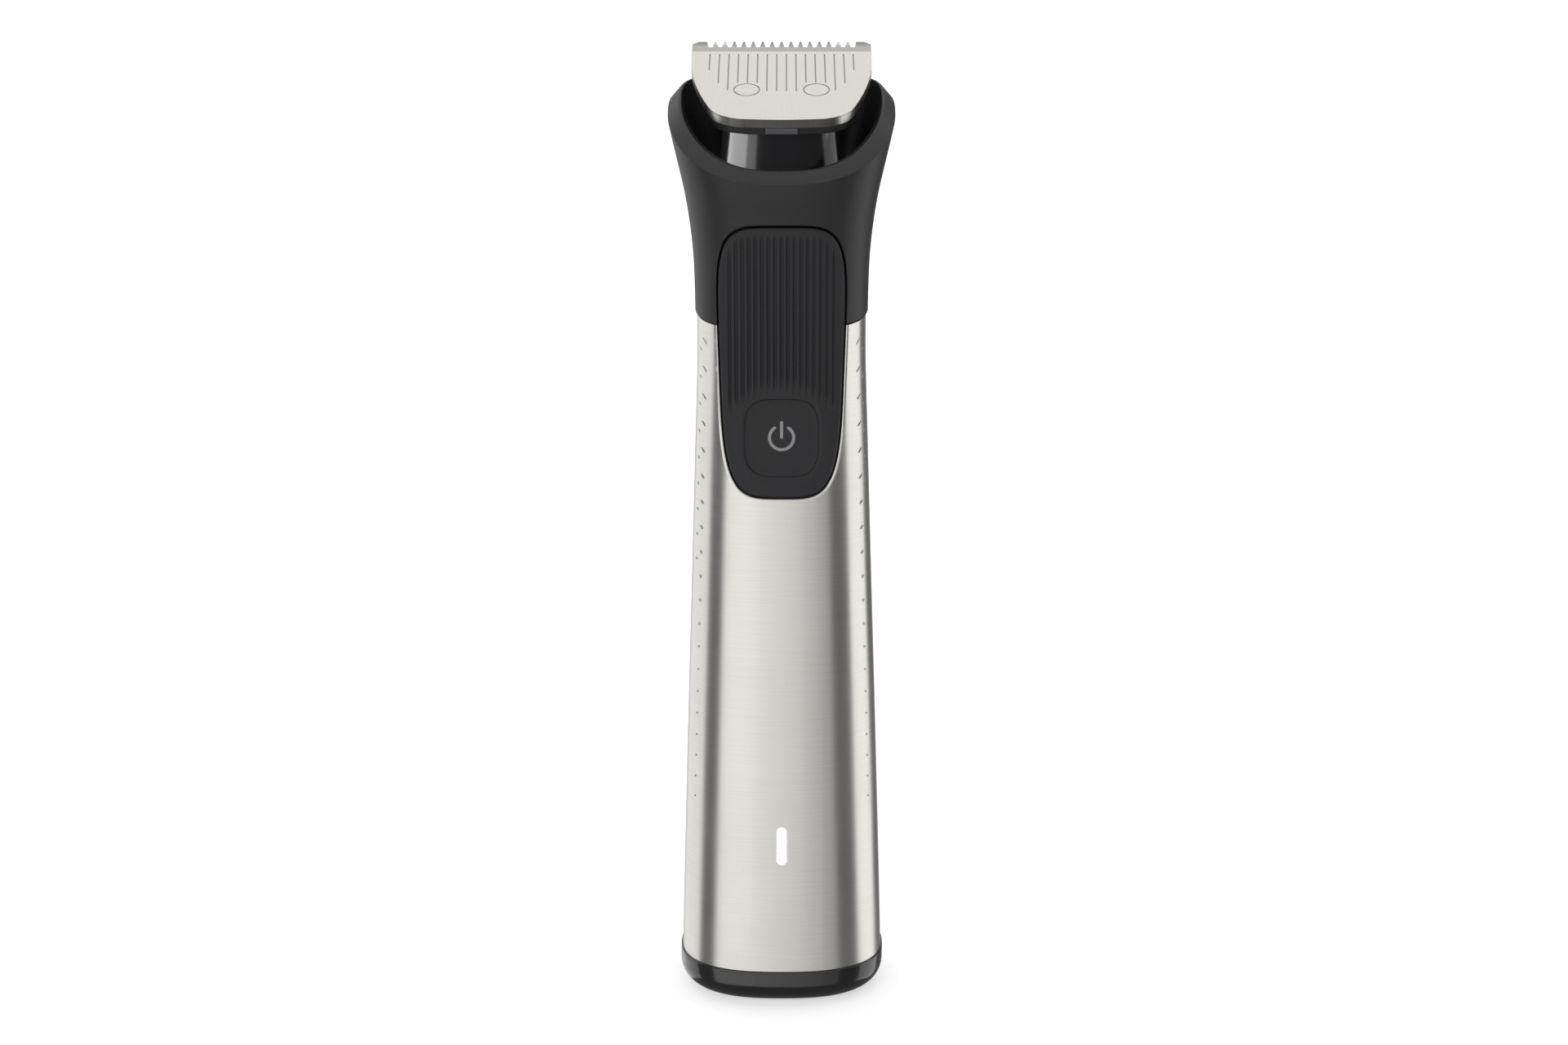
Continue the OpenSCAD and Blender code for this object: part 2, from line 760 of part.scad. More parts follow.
// Round-bottomed gap between two teeth, open towards the tips
module tooth_gap(depth, bottom, mouth) {
    points = concat(
        [for (k = [0 : 6]) let (a = 180 + 30 * k) [bottom * cos(a), bottom * (1 + sin(a))]],
        [[mouth, depth + 0.5], [-mouth, depth + 0.5]]
    );
    polygon(points);
}

module guard_plate() {
    line_w = 0.22;
    engraved = 0.12;
    first_gap = tooth_pitch / 2;
    gaps = tooth_count + 1;
    line_top = 23.4;
    line_len = [13.5, 13.5, 10.5, 10.5, 10.5, 13.2, 10.7, 5.9];
    color("lightgray") at_plate() difference() {
        union() {
            translate([0, 0, -plate_t]) linear_extrude(plate_t) difference() {
                plate_outline(plate_len);
                for (k = [0 : gaps - 1])
                    translate([(k - (gaps - 1) / 2) * tooth_pitch, plate_len - gap_depth])
                        tooth_gap(gap_depth, 0.45, 0.68);
                for (s = [-1, 1]) translate([s * plate_half_w, plate_len])
                    rotate(45) square(1.6, center = true);
            }
            translate([0, 0, -skirt_h]) linear_extrude(skirt_h) difference() {
                plate_outline(22);
                plate_outline(23, 0.6);
            }
        }
        translate([-20, bevel_y, 0]) rotate([-bevel_angle, 0, 0]) cube([40, 6, 2]);
        for (k = [0 : gaps / 2 - 1], s = [-1, 1])
            translate([
                s * (first_gap + k * tooth_pitch) - line_w / 2, line_top - line_len[k], -engraved
            ]) cube([line_w, line_len[k], 1]);
        for (s = [-1, 1]) translate([s * stud.x, stud.y, -engraved]) difference() {
            cylinder(h = 1, r = 2.2);
            translate([0, 0, -1]) cylinder(h = 3, r = 2.0);
        }
    }
}

// Spot-welded studs that hold the guard to the tray
module guard_rivets() {
    color("silver") at_plate() for (s = [-1, 1]) translate([s * stud.x, stud.y, stud_low])
        cylinder(h = -plate_t - stud_low, r = 1.2);
}

module cutter_blade() {
    half = 12.2;
    low = 17;
    tip = plate_len - 0.5;
    color("gray") at_plate() translate([0, 0, cutter_top - cutter_t])
        linear_extrude(cutter_t) difference() {
            translate([-half, low]) square([2 * half, tip - low]);
            for (k = [-7.5 : 7.5]) translate([k * tooth_pitch, tip - 2.3]) tooth_gap(2.3, 0.35, 0.4);
        }
}

module blade_tray() {
    color([0.1, 0.1, 0.1]) at_plate() difference() {
        translate([0, 0, tray_low]) linear_extrude(-plate_t - tray_low) plate_outline(22, 0.65);
        translate([-13.3, 16.7, -1.35]) cube([26.6, 12, 2]);
        translate([-8, 13.6, -4]) cube([16, 8, 5]);
        translate([-6.3, 4.5, -2.4]) cube([12.6, 9.2, 3]);
        for (s = [-1, 1]) translate([s * stud.x, stud.y, -4]) cylinder(h = 5, r = 1.2);
    }
    color([0.1, 0.1, 0.1]) at_plate() for (s = [-1, 1])
        translate([s * stud.x, stud.y, tray_low]) difference() {
            cylinder(h = 2.3, r = 1.9);
            translate([0, 0, stud_low - tray_low]) cylinder(h = 3, r = 1.2);
        }
}

module snap_tab() {
    color([0.2, 0.2, 0.2]) at_plate() translate([-2.6, 0.15, -2.75]) cube([5.2, 0.5, 1.1]);
}

// Slider under the cutter with a fork that straddles the eccentric pin
module cutter_driver() {
    fork_half = pin_r + 2 * throw + 0.12;
    prong = 1.5;
    leg = fork_half + prong;
    color("ivory") {
        at_plate() translate([-6.5, 14.6, -2.6]) cube([13, 5.6, 1.45]);
        difference() {
            union() {
                translate([-leg, drive_y - 1.8, 137]) cube([2 * leg, 5.6, 10]);
                translate([-leg, drive_y + 1.2, 140]) cube([2 * leg, 2.6, 21]);
            }
            translate([-fork_half, drive_y - 4, 136]) cube([2 * fork_half, 10, 7]);
            at_plate() translate([-10, 0, -1.16]) cube([20, 40, 20]);
        }
    }
}

// Leaf springs that hold the slider up against the guard
module tension_spring() {
    t = 0.25;
    w = 1.1;
    line = [[9.5, tray_low], [13.7, tray_low], [17, tray_low + 0.34]];
    under = [for (k = [2 : -1 : 0]) line[k] - [0, t]];
    color("silver") at_plate() for (s = [-1, 1]) translate([s * 5.85 - w / 2, 0, 0])
        rotate([90, 0, 90]) linear_extrude(w) polygon(concat(line, under));
}

module head_neck() {
    plane_z = function (y) plate_z0 + (y - plate_y0) * tan(plate_tilt)
        + tray_low / cos(plate_tilt);
    neck_foot = function (a, inset)
        oval(a, neck_low[0] - inset, neck_low[1] - inset, neck_low[1] - inset, neck_power);
    tube = function (t, inset) [
        for (i = [0 : around - 1])
            let (
                a = turn(i),
                low = neck_foot(a, inset),
                high = oval(
                    a, neck_high[0] - inset, neck_high[1] - inset, neck_high[2] - inset, neck_power
                ),
                q = (1 - t) * low + t * high,
                z = (1 - t) * neck_z0 + t * plane_z(high.y)
            )
            [q.x, q.y, z]
    ];
    floor_in = [
        for (i = [0 : around - 1])
            let (q = neck_foot(turn(i), neck_wall + 0.1)) [q.x, q.y, neck_z0 + 1.6]
    ];
    color([0.05, 0.05, 0.06]) difference() {
        skin(concat(
            [for (t = [0, 0.25, 0.5, 0.75, 1]) tube(t, 0)],
            [for (t = [1, 0.75, 0.5, 0.25]) tube(t, neck_wall)],
            [floor_in]
        ));
        translate([0, drive_y, neck_z0 - 1]) cylinder(h = 4, r = 4.2);
    }
}

// ---- Wiring ----

module battery_leads() {
    color("red") {
        wire([[2.08, -5.9, 64.5], [2.1, -5.8, 68.5], [2.3, -5.9, 72], [2.2, -6.32, 75]], 0.45);
        wire([[-2.08, -5.9, 17.5], [-2.4, -5.8, 21], [-3, -5.9, 24.5], [-3, -6.32, 27]], 0.45);
    }
}

module motor_leads() {
    color("black") for (s = [-1, 1])
        wire([[s * 5.22, 0.6, 79], [s * 5.3, -1.5, 77], [s * 5.2, -4.5, 76.5],
              [s * 5, -6.36, 77.5]], 0.4);
}

module socket_leads() {
    color("black") for (s = [-1, 1])
        wire([[s * 2, 0, 11.9], [s * 2.8, -2.5, 12.6], [s * 3.8, -5, 14.2], [s * 4.2, -6.2, 17],
              [s * 4.2, -6.36, 20.5]], 0.4);
}

guard_plate();
cutter_blade();
cutter_driver();
tension_spring();
blade_tray();
snap_tab();
guard_rivets();
head_neck();
head_collar();
collar_gasket();
steel_sleeve();
grip_pad();
power_button();
power_symbol();
indicator_lens();
foot_cap();
foot_seal();
charging_socket();
charging_pins();
frame_front();
frame_rear();
frame_screws();
battery_cell();
battery_tabs();
circuit_board();
board_chips();
tact_switch();
switch_plunger();
status_led();
motor_can();
motor_magnets();
motor_end_cap();
motor_bushes();
motor_brushes();
motor_terminals();
armature_core();
armature_windings();
commutator();
motor_shaft();
motor_mount();
motor_screws();
eccentric_hub();
eccentric_pin();
shaft_seal();
deck_screws();
battery_leads();
motor_leads();
socket_leads();
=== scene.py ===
"""The looks of a cordless beard trimmer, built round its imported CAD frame.

Meshes are worked out in millimetres, in the CAD's own frame, and scaled to metres when they
are made.
"""

import json
import math

import bmesh
import bpy
import numpy as np
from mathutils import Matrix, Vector


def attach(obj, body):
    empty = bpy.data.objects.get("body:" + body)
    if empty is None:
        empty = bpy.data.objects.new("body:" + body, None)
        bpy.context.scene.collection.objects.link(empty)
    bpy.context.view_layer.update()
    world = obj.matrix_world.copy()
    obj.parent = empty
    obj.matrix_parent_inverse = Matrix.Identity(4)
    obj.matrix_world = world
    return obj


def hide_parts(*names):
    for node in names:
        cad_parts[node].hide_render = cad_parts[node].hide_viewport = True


MM = 0.001

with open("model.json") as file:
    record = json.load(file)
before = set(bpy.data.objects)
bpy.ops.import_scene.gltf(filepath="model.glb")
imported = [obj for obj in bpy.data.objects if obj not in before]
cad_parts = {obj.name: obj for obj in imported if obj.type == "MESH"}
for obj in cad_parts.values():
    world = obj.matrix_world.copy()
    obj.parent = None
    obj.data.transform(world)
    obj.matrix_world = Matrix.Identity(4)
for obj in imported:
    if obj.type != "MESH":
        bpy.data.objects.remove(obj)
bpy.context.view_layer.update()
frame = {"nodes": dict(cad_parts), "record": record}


# ---- The handle's form, as in the CAD ----

SECTION_POWER = 2.5        # squareness of the section, where 2 is an ellipse
RIM_POWER = 3.0
SQUARING = (125, 150)      # heights between which one squareness turns into the other
RIM_Z = 154.1
RIM_SLOPE = 0.374
RIM_BEND = (0.0181, 0.01)  # front and back
RIM_DEPTH = 16
FOOT_H = 6.5
FOOT_R = 4.3
SEAM_Z = 121.5             # joint between sleeve and collar, at the sides
SEAM_SLOPE = 0.125
GASKET_T = 0.3
SLEEVE_INSET = 0.3
SLEEVE_IN = 1.1
WALL_IN = 2.8              # inside of the collar's lower wall
LIP_IN = 2.4
LIP_UP = 2.6
DECK_LOW = 129.5
DECK_TOP = 132.0
DRIVE_Y = 1.0
PAD_Z = 114.1
PAD_PROUD = 0.2
PAD_IN = 1.8
PAD_GAP = 0.21
PAD_HALF_H = 22.45
PAD_HALF_W = 10.15
PAD_TAPER = 0.033
PAD_LOW_POWER = 4.3
PAD_TOP_POWER = 4.7
BUTTON_Z = 101.7
BUTTON_HALF_W = 6.1
BUTTON_HALF_H = 6.5
BUTTON_POWER = 3.5
LED_Z = 30.0
LENS_R = 0.75
LENS_H = 6.8
LENS_GAP = 0.06
PLATE_Y = -12.0
PLATE_Z = 153.4
PLATE_TILT = math.radians(24)
TRAY_LOW = -3.0
NECK_Z = 133.0
NECK_POWER = 3.0
NECK_LOW = (11.7, 10.4)    # half width and half depth at the neck's foot
NECK_HIGH = (9.2, 8.8, 7.8)  # half width, front depth and back depth under the tray

HALF_W_KEYS = [
    (0, 18.1), (6.5, 18.1), (45, 16.9), (75, 15.85), (100, 15.0), (114, 14.55), (124, 14.55),
    (132, 14.85), (140, 15.85), (147, 17.35), (151, 18.3), (154, 18.75), (158, 18.85),
    (166, 18.85),
]
FRONT_KEYS = [
    (0, 14.1), (6.5, 14.1), (40, 13.9), (75, 13.4), (105, 12.9), (121, 12.85), (130, 13.4),
    (137, 14.5), (143.5, 16), (150, 16.6), (166, 16.6),
]
BACK_KEYS = [
    (0, 14.1), (6.5, 14.1), (40, 14.2), (75, 13.9), (105, 13.2), (121, 13), (132, 13.6),
    (144, 15), (155, 16), (166, 16),
]


class Curve:
    """A smooth curve through (height, value) keys."""

    def __init__(self, keys):
        self.x, self.y = np.array(keys, float).T
        n = len(keys)
        low = np.maximum(np.arange(n) - 1, 0)
        high = np.minimum(np.arange(n) + 1, n - 1)
        self.m = (self.y[high] - self.y[low]) / (self.x[high] - self.x[low])

    def __call__(self, z):
        z = np.clip(z, self.x[0], self.x[-1])
        i = np.clip(np.searchsorted(self.x, z) - 1, 0, len(self.x) - 2)
        h = self.x[i + 1] - self.x[i]
        t = (z - self.x[i]) / h
        return (
            (2 * t**3 - 3 * t**2 + 1) * self.y[i]
            + (t**3 - 2 * t**2 + t) * h * self.m[i]
            + (3 * t**2 - 2 * t**3) * self.y[i + 1]
            + (t**3 - t**2) * h * self.m[i + 1]
        )


half_w = Curve(HALF_W_KEYS)
front_d = Curve(FRONT_KEYS)
back_d = Curve(BACK_KEYS)


def power(v, p):
    return np.sign(v) * np.abs(v) ** p


def turns(n):
    return 2 * np.pi * np.arange(n) / n


def ease(t):
    t = np.clip(t, 0, 1)
    return t * t * (3 - 2 * t)


def squareness(z):
    low, high = SQUARING
    return SECTION_POWER + (RIM_POWER - SECTION_POWER) * ease((z - low) / (high - low))


def oval(a, w, front, back, p):
    """Points of a squared oval at the angles a."""
    depth = np.where(np.sin(a) < 0, front, back)
    return w * power(np.cos(a), 2 / p), depth * power(np.sin(a), 2 / p)


def form(z, a, inset):
    """Points of the handle's form at heights z and angles a, moved inwards by inset."""
    z = z + 0 * a
    x, y = oval(a, half_w(z) - inset, front_d(z) - inset, back_d(z) - inset, squareness(z))
    return np.stack([x, y, z], -1)


def face_y(x, z, inset):
    """Y of the front face at x and z, moved inwards by inset."""
    r = np.minimum(np.abs(x) / (half_w(z) - inset), 0.999)
    p = squareness(z)
    return -(front_d(z) - inset) * (1 - r**p) ** (1 / p)


def level(x, y, z, inset):
    """1 on the form moved inwards by inset, and more outside it."""
    depth = np.where(y < 0, front_d(z), back_d(z)) - inset
    p = squareness(z)
    return np.abs(x / (half_w(z) - inset)) ** p + np.abs(y / depth) ** p


def form_normals(points, inset=0.0):
    """Outward normals of the form at points near it."""
    x, y, z = points.T
    step = 0.05
    n = np.stack([
        level(x + step, y, z, inset) - level(x - step, y, z, inset),
        level(x, y + step, z, inset) - level(x, y - step, z, inset),
        level(x, y, z + step, inset) - level(x, y, z - step, inset),
    ], -1)
    return n / np.linalg.norm(n, axis=1, keepdims=True)


def rim_z(a):
    """Height of the collar rim's outer edge at the angles a."""
    y = RIM_DEPTH * power(np.sin(a), 2 / RIM_POWER)
    return RIM_Z + RIM_SLOPE * y - np.where(y < 0, *RIM_BEND) * y * y


def seam_z(a):
    """Height of the slanted joint between sleeve and collar at the angles a."""
    return SEAM_Z + SEAM_SLOPE * form(SEAM_Z, a, 0)[:, 1]


def pad_half(z):
    return PAD_HALF_W + PAD_TAPER * (z - PAD_Z)


def even(x, z, count):
    """Points spaced evenly along a closed outline."""
    x, z = np.append(x, x[0]), np.append(z, z[0])
    run = np.append(0, np.cumsum(np.hypot(np.diff(x), np.diff(z))))
    at = np.arange(count) / count * run[-1]
    return np.interp(at, run, x), np.interp(at, run, z)


def from_bottom(outline, count, grow=0.0):
    """Even points of an outline, starting at its lowest point."""
    x, z = outline(turns(20000) - math.pi / 2, grow)
    return even(x, z, count)


def pad_outline(a, grow=0.0):
    p = np.where(np.sin(a) < 0, PAD_LOW_POWER, PAD_TOP_POWER)
    z = PAD_Z + (PAD_HALF_H + grow) * power(np.sin(a), 2 / p)
    return (pad_half(z) + grow) * power(np.cos(a), 2 / p), z


def button_outline(a, grow=0.0):
    half_h = BUTTON_HALF_H + grow
    x, z = oval(a, BUTTON_HALF_W + grow, half_h, half_h, BUTTON_POWER)
    return x, BUTTON_Z + z


# ---- Meshes ----

def fillet(path, radii, steps=5):
    """Rounds the inner corners of a 2D path with arcs."""
    points = [np.array(p, float) for p in path]
    out = [points[0]]
    for a, b, c, r in zip(points, points[1:], points[2:], radii):
        u = (a - b) / np.linalg.norm(a - b)
        v = (c - b) / np.linalg.norm(c - b)
        half = math.acos(np.clip(u @ v, -1, 1)) / 2
        if half > 1.5:
            out.append(b)
            continue
        centre = b + (u + v) / np.linalg.norm(u + v) * r / math.sin(half)
        start = b + u * r / math.tan(half) - centre
        end = b + v * r / math.tan(half) - centre
        arc = math.pi - 2 * half
        for k in range(steps + 1):
            t = k / steps
            out.append(centre + (math.sin((1 - t) * arc) * start + math.sin(t * arc) * end)
                       / math.sin(arc))
    out.append(points[-1])
    return np.array(out)


def ring_mesh(rings, looped=False):
    """Vertices and faces of a skin over rings of equal length. A looped skin joins end to end."""
    n, m = len(rings[0]), len(rings)
    verts = np.concatenate(rings)
    faces = []
    for j in range(m if looped else m - 1):
        k = (j + 1) % m
        for i in range(n):
            i2 = (i + 1) % n
            faces.append((j * n + i, j * n + i2, k * n + i2, k * n + i))
    if not looped:
        low, high = len(verts), len(verts) + 1
        verts = np.concatenate([verts, [rings[0].mean(0)], [rings[-1].mean(0)]])
        last = (m - 1) * n
        for i in range(n):
            i2 = (i + 1) % n
            faces.append((low, i2, i))
            faces.append((high, last + i, last + i2))
    return verts, faces


def make(name, verts, faces, sharp=32):
    """A mesh object from millimetres, with its normals outwards and its sharp edges marked."""
    mesh = bpy.data.meshes.new(name)
    mesh.from_pydata((np.asarray(verts) * MM).tolist(), [], faces)
    work = bmesh.new()
    work.from_mesh(mesh)
    bmesh.ops.recalc_face_normals(work, faces=work.faces)
    work.to_mesh(mesh)
    work.free()
    obj = bpy.data.objects.new(name, mesh)
    bpy.context.scene.collection.objects.link(obj)
    smooth(obj, sharp)
    return obj


def smooth(obj, sharp=32):
    obj.data.shade_smooth()
    obj.data.set_sharp_from_angle(angle=math.radians(sharp))


def apply_modifiers(obj):
    graph = bpy.context.evaluated_depsgraph_get()
    mesh = bpy.data.meshes.new_from_object(obj.evaluated_get(graph))
    obj.modifiers.clear()
    obj.data = mesh


def cut(obj, *tools):
    """Cuts the tools out of a mesh and removes them."""
    for tool in tools:
        m = obj.modifiers.new("cut", "BOOLEAN")
        m.operation = "DIFFERENCE"
        m.solver = "EXACT"
        m.object = tool
    apply_modifiers(obj)
    for tool in tools:
        bpy.data.objects.remove(tool)


def true_normals(obj, inset, sharp=32):
    """Gives the outer face of a cut shell the form's own normals, so that cuts leave no ripples."""
    smooth(obj, sharp)
    mesh = obj.data
    co = np.zeros(len(mesh.vertices) * 3)
    mesh.vertices.foreach_get("co", co)
    co = co.reshape(-1, 3) / MM
    normals = form_normals(co, inset)
    near, facing_same = 0.004, 0.9
    on_form = np.abs(level(*co.T, inset) - 1) < near
    loop_normals = np.array([c.vector for c in mesh.corner_normals])
    for face in mesh.polygons:
        if not all(on_form[v] for v in face.vertices):
            continue
        facing = np.array(face.normal)
        for loop, v in zip(face.loop_indices, face.vertices):
            if facing @ normals[v] > facing_same:
                loop_normals[loop] = normals[v]
    mesh.normals_split_custom_set(loop_normals.tolist())


def bevelled(name, node, width, segments=2, angle=30):
    """A copy of a CAD node with its edges broken, which stands for that node."""
    source = frame["nodes"][node]
    obj = bpy.data.objects.new(name, source.data.copy())
    bpy.context.scene.collection.objects.link(obj)
    work = bmesh.new()
    work.from_mesh(obj.data)
    weld, flat_angle = 1e-6, math.radians(0.6)
    bmesh.ops.remove_doubles(work, verts=work.verts, dist=weld)
    bmesh.ops.dissolve_limit(work, angle_limit=flat_angle, verts=work.verts, edges=work.edges)
    work.to_mesh(obj.data)
    work.free()
    bevel = obj.modifiers.new("bevel", "BEVEL")
    bevel.width = width * MM
    bevel.segments = segments
    bevel.limit_method = "ANGLE"
    bevel.angle_limit = math.radians(angle)
    apply_modifiers(obj)
    smooth(obj, 50)
    obj.modifiers.new("flat", "WEIGHTED_NORMAL").keep_sharp = True
    apply_modifiers(obj)
    return obj


def stadium(a, r, length):
    """X and Z of an upright lozenge round (0, 0)."""
    z = r * np.sin(a)
    return r * np.cos(a), z + np.sign(np.sin(a)) * (length / 2 - r)


# ---- Materials ----

BLACK = (0, 0, 0, 1)
WHITE = (1, 1, 1, 1)
CLOUD_SIZE = 60.0
COAT_ROUGHNESS = 0.08


def nodes_of(material):
    material.use_nodes = True
    tree = material.node_tree
    return tree, tree.nodes, tree.links, tree.nodes["Principled BSDF"]


def noise(tree, scale, size, detail=4.0, roughness=0.55):
    """A noise in object space, stretched by a scale for each axis."""
    nodes, links = tree.nodes, tree.links
    place = nodes.new("ShaderNodeTexCoord")
    stretch = nodes.new("ShaderNodeMapping")
    stretch.inputs["Scale"].default_value = scale
    texture = nodes.new("ShaderNodeTexNoise")
    texture.inputs["Scale"].default_value = size
    texture.inputs["Detail"].default_value = detail
    texture.inputs["Roughness"].default_value = roughness
    links.new(place.outputs["Object"], stretch.inputs["Vector"])
    links.new(stretch.outputs["Vector"], texture.inputs["Vector"])
    return texture.outputs["Fac"]


def spread(tree, value, low, high, start=0.3, end=0.7):
    """Maps a value from start..end, a noise's usual range, to low..high."""
    node = tree.nodes.new("ShaderNodeMapRange")
    node.inputs["From Min"].default_value = start
    node.inputs["From Max"].default_value = end
    node.inputs["To Min"].default_value = low
    node.inputs["To Max"].default_value = high
    tree.links.new(value, node.inputs["Value"])
    return node.outputs["Result"]


def tint(tree, value, dark, light):
    """Mixes two colours by a noise."""
    node = tree.nodes.new("ShaderNodeMix")
    node.data_type = "RGBA"
    node.inputs["A"].default_value = (*dark, 1)
    node.inputs["B"].default_value = (*light, 1)
    tree.links.new(spread(tree, value, 0, 1), node.inputs["Factor"])
    return node.outputs["Result"]


def bump(tree, value, strength, height):
    node = tree.nodes.new("ShaderNodeBump")
    node.inputs["Strength"].default_value = strength
    node.inputs["Distance"].default_value = height
    tree.links.new(value, node.inputs["Height"])
    return node.outputs["Normal"]


def finish_material(name, colour, rough, metallic=0.0, stretch=(1, 1, 1), size=900.0,
                    shift=0.06, rough_shift=0.06, relief=0.25, relief_height=2e-5,
                    specular=0.5, coat=0.0, aniso=0.0, aniso_turn=0.0, radial=None, detail=4.0):
    """A surface whose colour, gloss and relief follow a grain."""
    material = bpy.data.materials.new(name)
    tree, nodes, links, shader = nodes_of(material)
    grain = noise(tree, stretch, size, detail)
    cloud = noise(tree, (1, 1, 1), CLOUD_SIZE, 3.0)
    dark = [max(c * (1 - shift), 0) for c in colour]
    light = [min(c * (1 + shift), 1) for c in colour]
    links.new(tint(tree, grain, dark, light), shader.inputs["Base Color"])
    half = rough_shift / 2
    wear = arithmetic(tree, "ADD", spread(tree, grain, rough - half, rough + half),
                      spread(tree, cloud, -half, half))
    links.new(wear, shader.inputs["Roughness"])
    links.new(bump(tree, grain, relief, relief_height), shader.inputs["Normal"])
    shader.inputs["Metallic"].default_value = metallic
    shader.inputs["Specular IOR Level"].default_value = specular
    shader.inputs["Coat Weight"].default_value = coat
    shader.inputs["Coat Roughness"].default_value = COAT_ROUGHNESS
    shader.inputs["Anisotropic"].default_value = aniso
    shader.inputs["Anisotropic Rotation"].default_value = aniso_turn
    if radial:
        tangent = nodes.new("ShaderNodeTangent")
        tangent.direction_type = "RADIAL"
        tangent.axis = radial
        links.new(tangent.outputs["Tangent"], shader.inputs["Tangent"])
    return material


def arithmetic(tree, operation, first, second=None):
    """A Math node over sockets or numbers."""
    node = tree.nodes.new("ShaderNodeMath")
    node.operation = operation
    for socket, value in zip(node.inputs, (first, second)):
        if isinstance(value, (int, float)):
            socket.default_value = value
        elif value is not None:
            tree.links.new(value, socket)
    return node.outputs[0]


def axes_of(tree, vector):
    node = tree.nodes.new("ShaderNodeSeparateXYZ")
    tree.links.new(vector, node.inputs[0])
    return node.outputs


def darkened(material, factor):
    """Scales a finish's colour by a factor from 0 to 1, which paints shade into it."""
    _, nodes, links, shader = nodes_of(material)
    colour = shader.inputs["Base Color"].links[0].from_socket
    node = nodes.new("ShaderNodeMix")
    node.data_type = "RGBA"
    node.inputs["A"].default_value = BLACK
    links.new(colour, node.inputs["B"])
    links.new(factor, node.inputs["Factor"])
    links.new(node.outputs["Result"], shader.inputs["Base Color"])
    return material


# Places on the guard plate, in metres from the middle of its lower edge: up its slope, out of its
# top face and across it. They bound the plate's painted shade and painted highlights.
STRIP_UP = (0.02435, 0.0245)
TEETH_UP = (0.0236, 0.0237)
ENGRAVED_OUT = (-6e-5, -2e-5)
SKIRT_OUT = (-2.5e-4, -1.5e-4)
CORNER_ACROSS = 0.0103
CORNER_REACH = (0.0007, 0.0018)


def guard_steel():
    """Bright steel with painted shade in its engraved lines, thinned tooth strip and skirt, and
    painted highlights at the skirt's corners.
    """
    # Colour factors of the painted shade in the engraved lines, on the tooth strip and on the
    # skirt.
    engraved_shade, strip_shade, skirt_shade = 0.4, 0.62, 0.36
    material = finish_material(
        "guard_steel", (0.72, 0.7, 0.655), 0.3, stretch=(1, 0.04, 0.04), size=5000.0,
        relief=0.05, relief_height=3e-6, metallic=1.0, shift=0.03)
    tree, nodes, links, _ = nodes_of(material)
    place = nodes.new("ShaderNodeTexCoord")
    local = nodes.new("ShaderNodeMapping")
    local.vector_type = "TEXTURE"
    local.inputs["Location"].default_value = (0, PLATE_Y * MM, PLATE_Z * MM)
    local.inputs["Rotation"].default_value = (PLATE_TILT, 0, 0)
    links.new(place.outputs["Object"], local.inputs["Vector"])
    across, up, out = axes_of(tree, local.outputs["Vector"])
    # Painted shade in the engraved lines and on the tooth strip, kept off the teeth.
    engraved = spread(tree, out, engraved_shade, 1, *ENGRAVED_OUT)
    strip = spread(tree, up, 1, strip_shade, *STRIP_UP)
    engraved = arithmetic(tree, "MAXIMUM", engraved, spread(tree, up, 0, 1, *TEETH_UP))
    # Painted shade on the skirt, left bright round its corners as painted highlights.
    skirt = spread(tree, out, 1, 0, *SKIRT_OUT)
    from_middle = arithmetic(tree, "ABSOLUTE", across)
    from_corner = arithmetic(
        tree, "ABSOLUTE", arithmetic(tree, "SUBTRACT", from_middle, CORNER_ACROSS))
    corner = spread(tree, from_corner, 1, skirt_shade, *CORNER_REACH)
    face = arithmetic(tree, "MULTIPLY", engraved, strip)
    side = arithmetic(tree, "MULTIPLY", skirt, corner)
    rest = arithmetic(tree, "MULTIPLY", arithmetic(tree, "SUBTRACT", 1.0, skirt), face)
    return darkened(material, arithmetic(tree, "ADD", side, rest))


def collar_black():
    """Matt black with painted light and shade: paler where it faces upwards, darker where it faces
    sideways or down.
    """
    material = finish_material(
        "collar_black", (0.03, 0.03, 0.032), 0.46, size=5000.0, shift=0.1, relief=0.2,
        relief_height=6e-6, specular=0.42)
    tree = material.node_tree
    normal = tree.nodes.new("ShaderNodeNewGeometry").outputs["True Normal"]
    # Painted light on faces that turn up, such as the lip, and painted shade on the walls.
    painted_light_from, painted_light_to = 0.2, 0.5
    upwards = axes_of(tree, normal)["Z"]
    return darkened(material, spread(tree, upwards, 0.36, 1, painted_light_from, painted_light_to))


def glowing(name, colour, strength):
    """A frosted light cover, lit from behind a little unevenly."""
    material = finish_material(name, (0.9, 0.92, 0.95), 0.35, size=1500.0, relief=0.1)
    tree, _, links, shader = nodes_of(material)
    shader.inputs["Emission Color"].default_value = (*colour, 1)
    links.new(spread(tree, noise(tree, (1, 1, 1), 400.0), strength * 0.9, strength * 1.1),
              shader.inputs["Emission Strength"])
    return material


